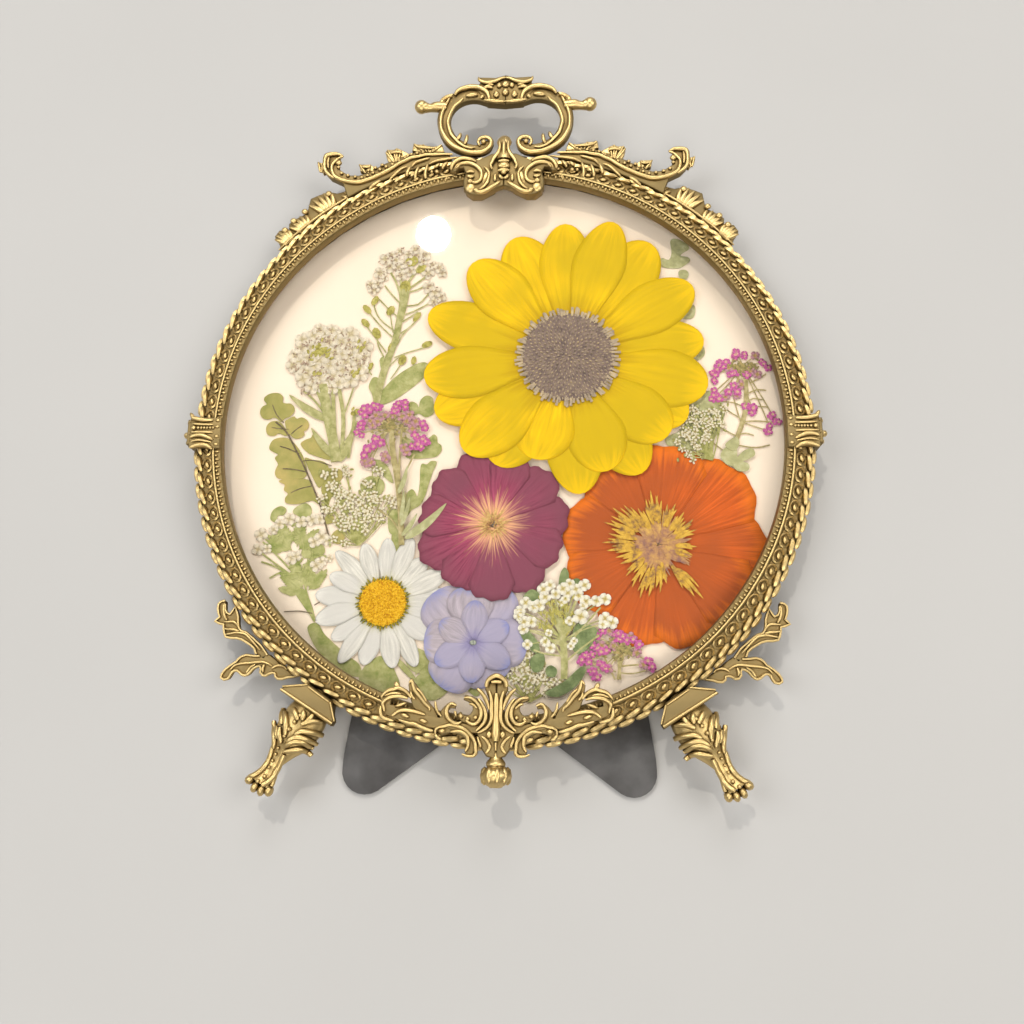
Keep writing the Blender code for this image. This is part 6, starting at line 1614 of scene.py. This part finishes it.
GREY_FROND = (
    (5.7, ((48.3, 61), (49.6, 62), (52.4, 60.8), (53.8, 58.8), (52, 57.4), (51.2, 56.4),
     (53.2, 56), (53.9, 54.8), (51.8, 53), (50, 52.4), (46.2, 52.8), (45.2, 54.4), (45.8, 55.8),
     (47.8, 55.2), (48.6, 57.6))),
    (5.74, ((50.6, 51.6), (52.6, 51.8), (53.4, 50.2), (52, 48.6), (50.6, 49.6))),
    (5.7, ((49.4, 37), (51.4, 39.4), (52.4, 41.2), (54.5, 40.8), (54.9, 38.6), (53.6, 36.6))),
    (5.7, ((52.4, 23.8), (54.6, 26.4), (56.4, 28.6), (57.2, 26), (55.6, 24))),
    (5.74, ((50.8, 22.6), (53, 24), (55, 22), (54.8, 20.2), (52.6, 20.6))),
    (5.76, ((50, 11), (54, 12.8), (57.8, 14.6), (60.4, 12.6), (62.2, 8.6), (59.8, 2.2), (56.6, -2.4),
     (50.8, -2.6), (46.2, -1.6), (45.4, 0.8), (49.6, 3), (51.4, 7.4))))
GREY_LEAFLETS = (
    ((60.2, -4.6), (61.8, -2.2), (64.4, -1.8), (64.8, -4.6), (63.8, -7.6), (61.6, -7)),
    ((64.4, -5.6), (66.8, -3.2), (69, -2.6), (69.7, -4.4), (67.6, -5.8), (65, -6.6)),
    ((63.4, -6.6), (66.4, -6.4), (68, -7.4), (67.4, -9), (64.6, -9)),
    ((61.6, -1.6), (64.6, 0.8), (65.6, -1.2), (64, -3.4)))


class FRAME_OT_leaves(bpy.types.Operator):
    """Fronds and lobed leaves"""
    bl_idname = "flower_frame.leaves"
    bl_label = "Leaves"

    def execute(self, context):
        looks = context.scene.flower_colours
        olive = plant_finish("olive_leaf", tint(166, 158, 92), tint(142, 142, 74), tint(190, 170, 104), 0.14)
        fresh = plant_finish("fresh_leaf", tuple(looks.green), tint(134, 144, 76), tint(192, 188, 134), 0.4)
        grey = plant_finish("grey_leaf", tuple(looks.sage), tint(156, 156, 112), tint(200, 198, 156), 0.5)
        dark = plant_finish("dark_stem", tint(112, 98, 76), tint(86, 74, 60), tint(140, 124, 92), 0.8)
        cream = bpy.data.materials["cream_petal"]
        dice = random.Random(8)

        shape = new_shape()
        for z, outline in OLIVE_FROND:
            add_leaf_cut(shape, z, *outline)
        add_piece("olive_frond", shape, olive, "green_leaf", "fern_left")
        shape = new_shape()
        add_stem(shape, 5.98, 0.5, (-64.7, 5.8), (-62.0, 3.5), (-60.0, 0.5), (-57.8, -3.6), (-55.5, -7.8),
                 (-53.6, -11.8), (-52.0, -15.3), (-50.3, -19.3), (-49.0, -23.3), (-47.7, -27.3))
        for line in FROND_VEINS:
            add_stem(shape, 5.96, 0.3, *line)
        add_piece("frond_stem", shape, dark, "green_leaf")

        shape = new_shape()
        for z, outline in LOBED_LEAVES:
            add_leaf_cut(shape, z, *outline)
        add_piece("lobed_leaf_group", shape, fresh, "green_leaf", "lobed_leaves")

        shape = new_shape()
        add_leaf(shape, (-26.4, -28.4), (-15.2, -18.4), 2.6, 7.32, 0.08, 0, -0.7)
        for root, tip, width in (((-27.2, -27.6), (-23.2, -21.2), 1.5), ((-27.6, -24.8), (-25.4, -16.6), 1.4),
                                 ((-27.8, -23.0), (-27.2, -14.4), 1.3), ((-28.6, -15.6), (-26.4, -7.6), 1.6)):
            add_leaf(shape, root, tip, width, 7.3, 0.07, 0, -0.3)
        add_piece("slender_leaves", shape, grey, "green_leaf", "slender_leaf")

        shape, petals = new_shape(), new_shape()
        for z, outline in LEFT_LEAVES:
            add_leaf_cut(shape, z, *outline)
        for x, y, turn, length in LEFT_FEATHERS:
            add_feather(shape, x, y, 5.8 + 0.03 * (turn % 4), length, turn)
        for x, y, count in ((-59.0, -27.0, 16), (-54.6, -38.0, 16), (-51.6, -31.6, 12)):
            strew_pods(shape, dice, count, (x, y), (2.0, 1.6), 5.9, (1.6, 3.0), 0.7)
        for line in LEFT_STEMS:
            add_stem(shape, 5.86, 0.5, *line)
        for number, (x, y, size) in enumerate(LEFT_BLOSSOMS):
            add_blossom(petals, number, x, y, 5.98, size, 4, dice.uniform(0, 90), 1.0)
        add_piece("left_sprig_greens", shape, fresh, "green_leaf", "leafy_sprig_left")
        add_piece("left_sprig_blossoms", petals, cream, "cream_blossom", sheet=True)

        shape = new_shape()
        for z, outline in LOW_LEAVES:
            add_leaf_cut(shape, z, *outline)
        add_leaf(shape, (-28.0, -60.6), (-21.0, -68.0), 1.8, 5.88, 0.08)
        add_stem(shape, 5.9, 0.4, (-22.4, -65.0), (-20.4, -63.0), (-17.8, -61.2))
        add_piece("low_leaf_group", shape, fresh, "green_leaf", "leaves_below_daisy")

        shape = new_shape()
        for z, outline in GREY_FROND:
            add_leaf_cut(shape, z, *outline)
        add_piece("grey_frond", shape, grey, "green_leaf", "fern_right")
        shape = new_shape()
        for step, outline in enumerate(GREY_LEAFLETS):
            add_leaf_cut(shape, 6.4 + 0.04 * step, *outline)
        add_piece("grey_leaflets", shape, grey, "green_leaf")
        return {"FINISHED"}


class FRAME_OT_stage(bpy.types.Operator):
    """Pale floor, soft light and the camera"""
    bl_idname = "flower_frame.stage"
    bl_label = "Stage"

    def execute(self, context):
        looks = context.scene.stage_looks
        scene = context.scene
        shape = new_shape()
        bmesh.ops.create_grid(shape, x_segments=2, y_segments=2, size=2.0,
                              matrix=Matrix.Translation((0, 0, -0.0002)))
        mesh = bpy.data.meshes.new("floor")
        shape.to_mesh(mesh)
        shape.free()
        floor = bpy.data.objects.new("floor", mesh)
        scene.collection.objects.link(floor)
        finish = Finish("backdrop", Roughness=0.9)
        tone = finish.ramp(finish.noise(0.01, 2), (0.3, lighter(looks.backdrop, -0.03)),
                           (0.7, tuple(looks.backdrop)))
        finish.fill(finish.shader, {"Base Color": tone})
        mesh.materials.append(finish.material)

        world = bpy.data.worlds.new("studio")
        world.use_nodes = True
        world.node_tree.nodes["Background"].inputs[0].default_value = (1.0, 0.98, 0.96, 1)
        world.node_tree.nodes["Background"].inputs[1].default_value = 0.25
        scene.world = world

        middle = Vector((0, 0, 0.01))
        lamps = [("key", (-0.196, 0.791, 1.3055), 0.057, looks.lamp, (1.0, 0.95, 0.86)),
                 ("soft_left", (-0.9, 0.1, 1.1), 0.9, looks.fill, (0.94, 0.97, 1.0)),
                 ("soft_right", (0.85, 0.1, 1.1), 0.9, looks.fill, (1.0, 0.98, 0.95)),
                 ("soft_front", (0.0, -0.8, 1.1), 0.9, looks.fill, (1.0, 0.97, 0.92)),
                 ("soft_top", (0.1, 1.25, 1.1), 0.9, looks.fill, (0.97, 0.98, 1.0))]
        for name, spot, size, power, tone in lamps:
            light = bpy.data.lights.new(name, "AREA")
            light.shape, light.size, light.energy, light.color = "DISK", size, power, tone
            lamp = bpy.data.objects.new(name, light)
            lamp.location = spot
            lamp.rotation_euler = (middle - Vector(spot)).to_track_quat("-Z", "Y").to_euler()
            scene.collection.objects.link(lamp)

        lens = bpy.data.cameras.new("camera")
        lens.lens, lens.sensor_width = 35.156, 36.0
        lens.clip_start = 0.01
        camera = bpy.data.objects.new("camera", lens)
        turn = Matrix.Rotation(math.radians(13.83), 4, "X") @ Matrix.Rotation(math.radians(2.5), 4, "Y")
        camera.matrix_world = Matrix.Translation((0.01481, -0.08624, 0.26923)) @ turn
        scene.collection.objects.link(camera)
        scene.camera = camera
        scene.view_settings.view_transform = "Standard"
        return {"FINISHED"}


class FRAME_PT_panel(bpy.types.Panel):
    """Lists the frame's sizes, colours and steps"""
    bl_idname = "FRAME_PT_panel"
    bl_label = "Flower Frame"
    bl_space_type = "VIEW_3D"
    bl_region_type = "UI"
    bl_category = "Flower Frame"

    def draw(self, context):
        for group in GROUPS:
            for name in GROUPS[group].__annotations__:
                self.layout.prop(getattr(context.scene, group), name)
        for step in STEPS:
            self.layout.operator(step.bl_idname)


GROUPS = {"frame_sizes": FrameSizes, "frame_colours": FrameColours, "flower_colours": FlowerColours,
          "stage_looks": StageLooks}
STEPS = (FRAME_OT_stage, FRAME_OT_back, FRAME_OT_ring, FRAME_OT_handle, FRAME_OT_clasp, FRAME_OT_castings,
         FRAME_OT_crest, FRAME_OT_yellow_flower, FRAME_OT_rose, FRAME_OT_cosmos, FRAME_OT_daisy,
         FRAME_OT_hydrangea, FRAME_OT_white_sprigs, FRAME_OT_lace, FRAME_OT_pink, FRAME_OT_leaves)


def register():
    for item in (*GROUPS.values(), *STEPS, FRAME_PT_panel):
        bpy.utils.register_class(item)
    for name, group in GROUPS.items():
        setattr(bpy.types.Scene, name, bpy.props.PointerProperty(type=group))


def unregister():
    for name in GROUPS:
        delattr(bpy.types.Scene, name)
    for item in (FRAME_PT_panel, *reversed(STEPS), *reversed(GROUPS.values())):
        bpy.utils.unregister_class(item)


def main():
    register()
    for step in STEPS:
        getattr(bpy.ops.flower_frame, step.bl_idname.split(".")[1])()


if __name__ == "__main__":
    main()
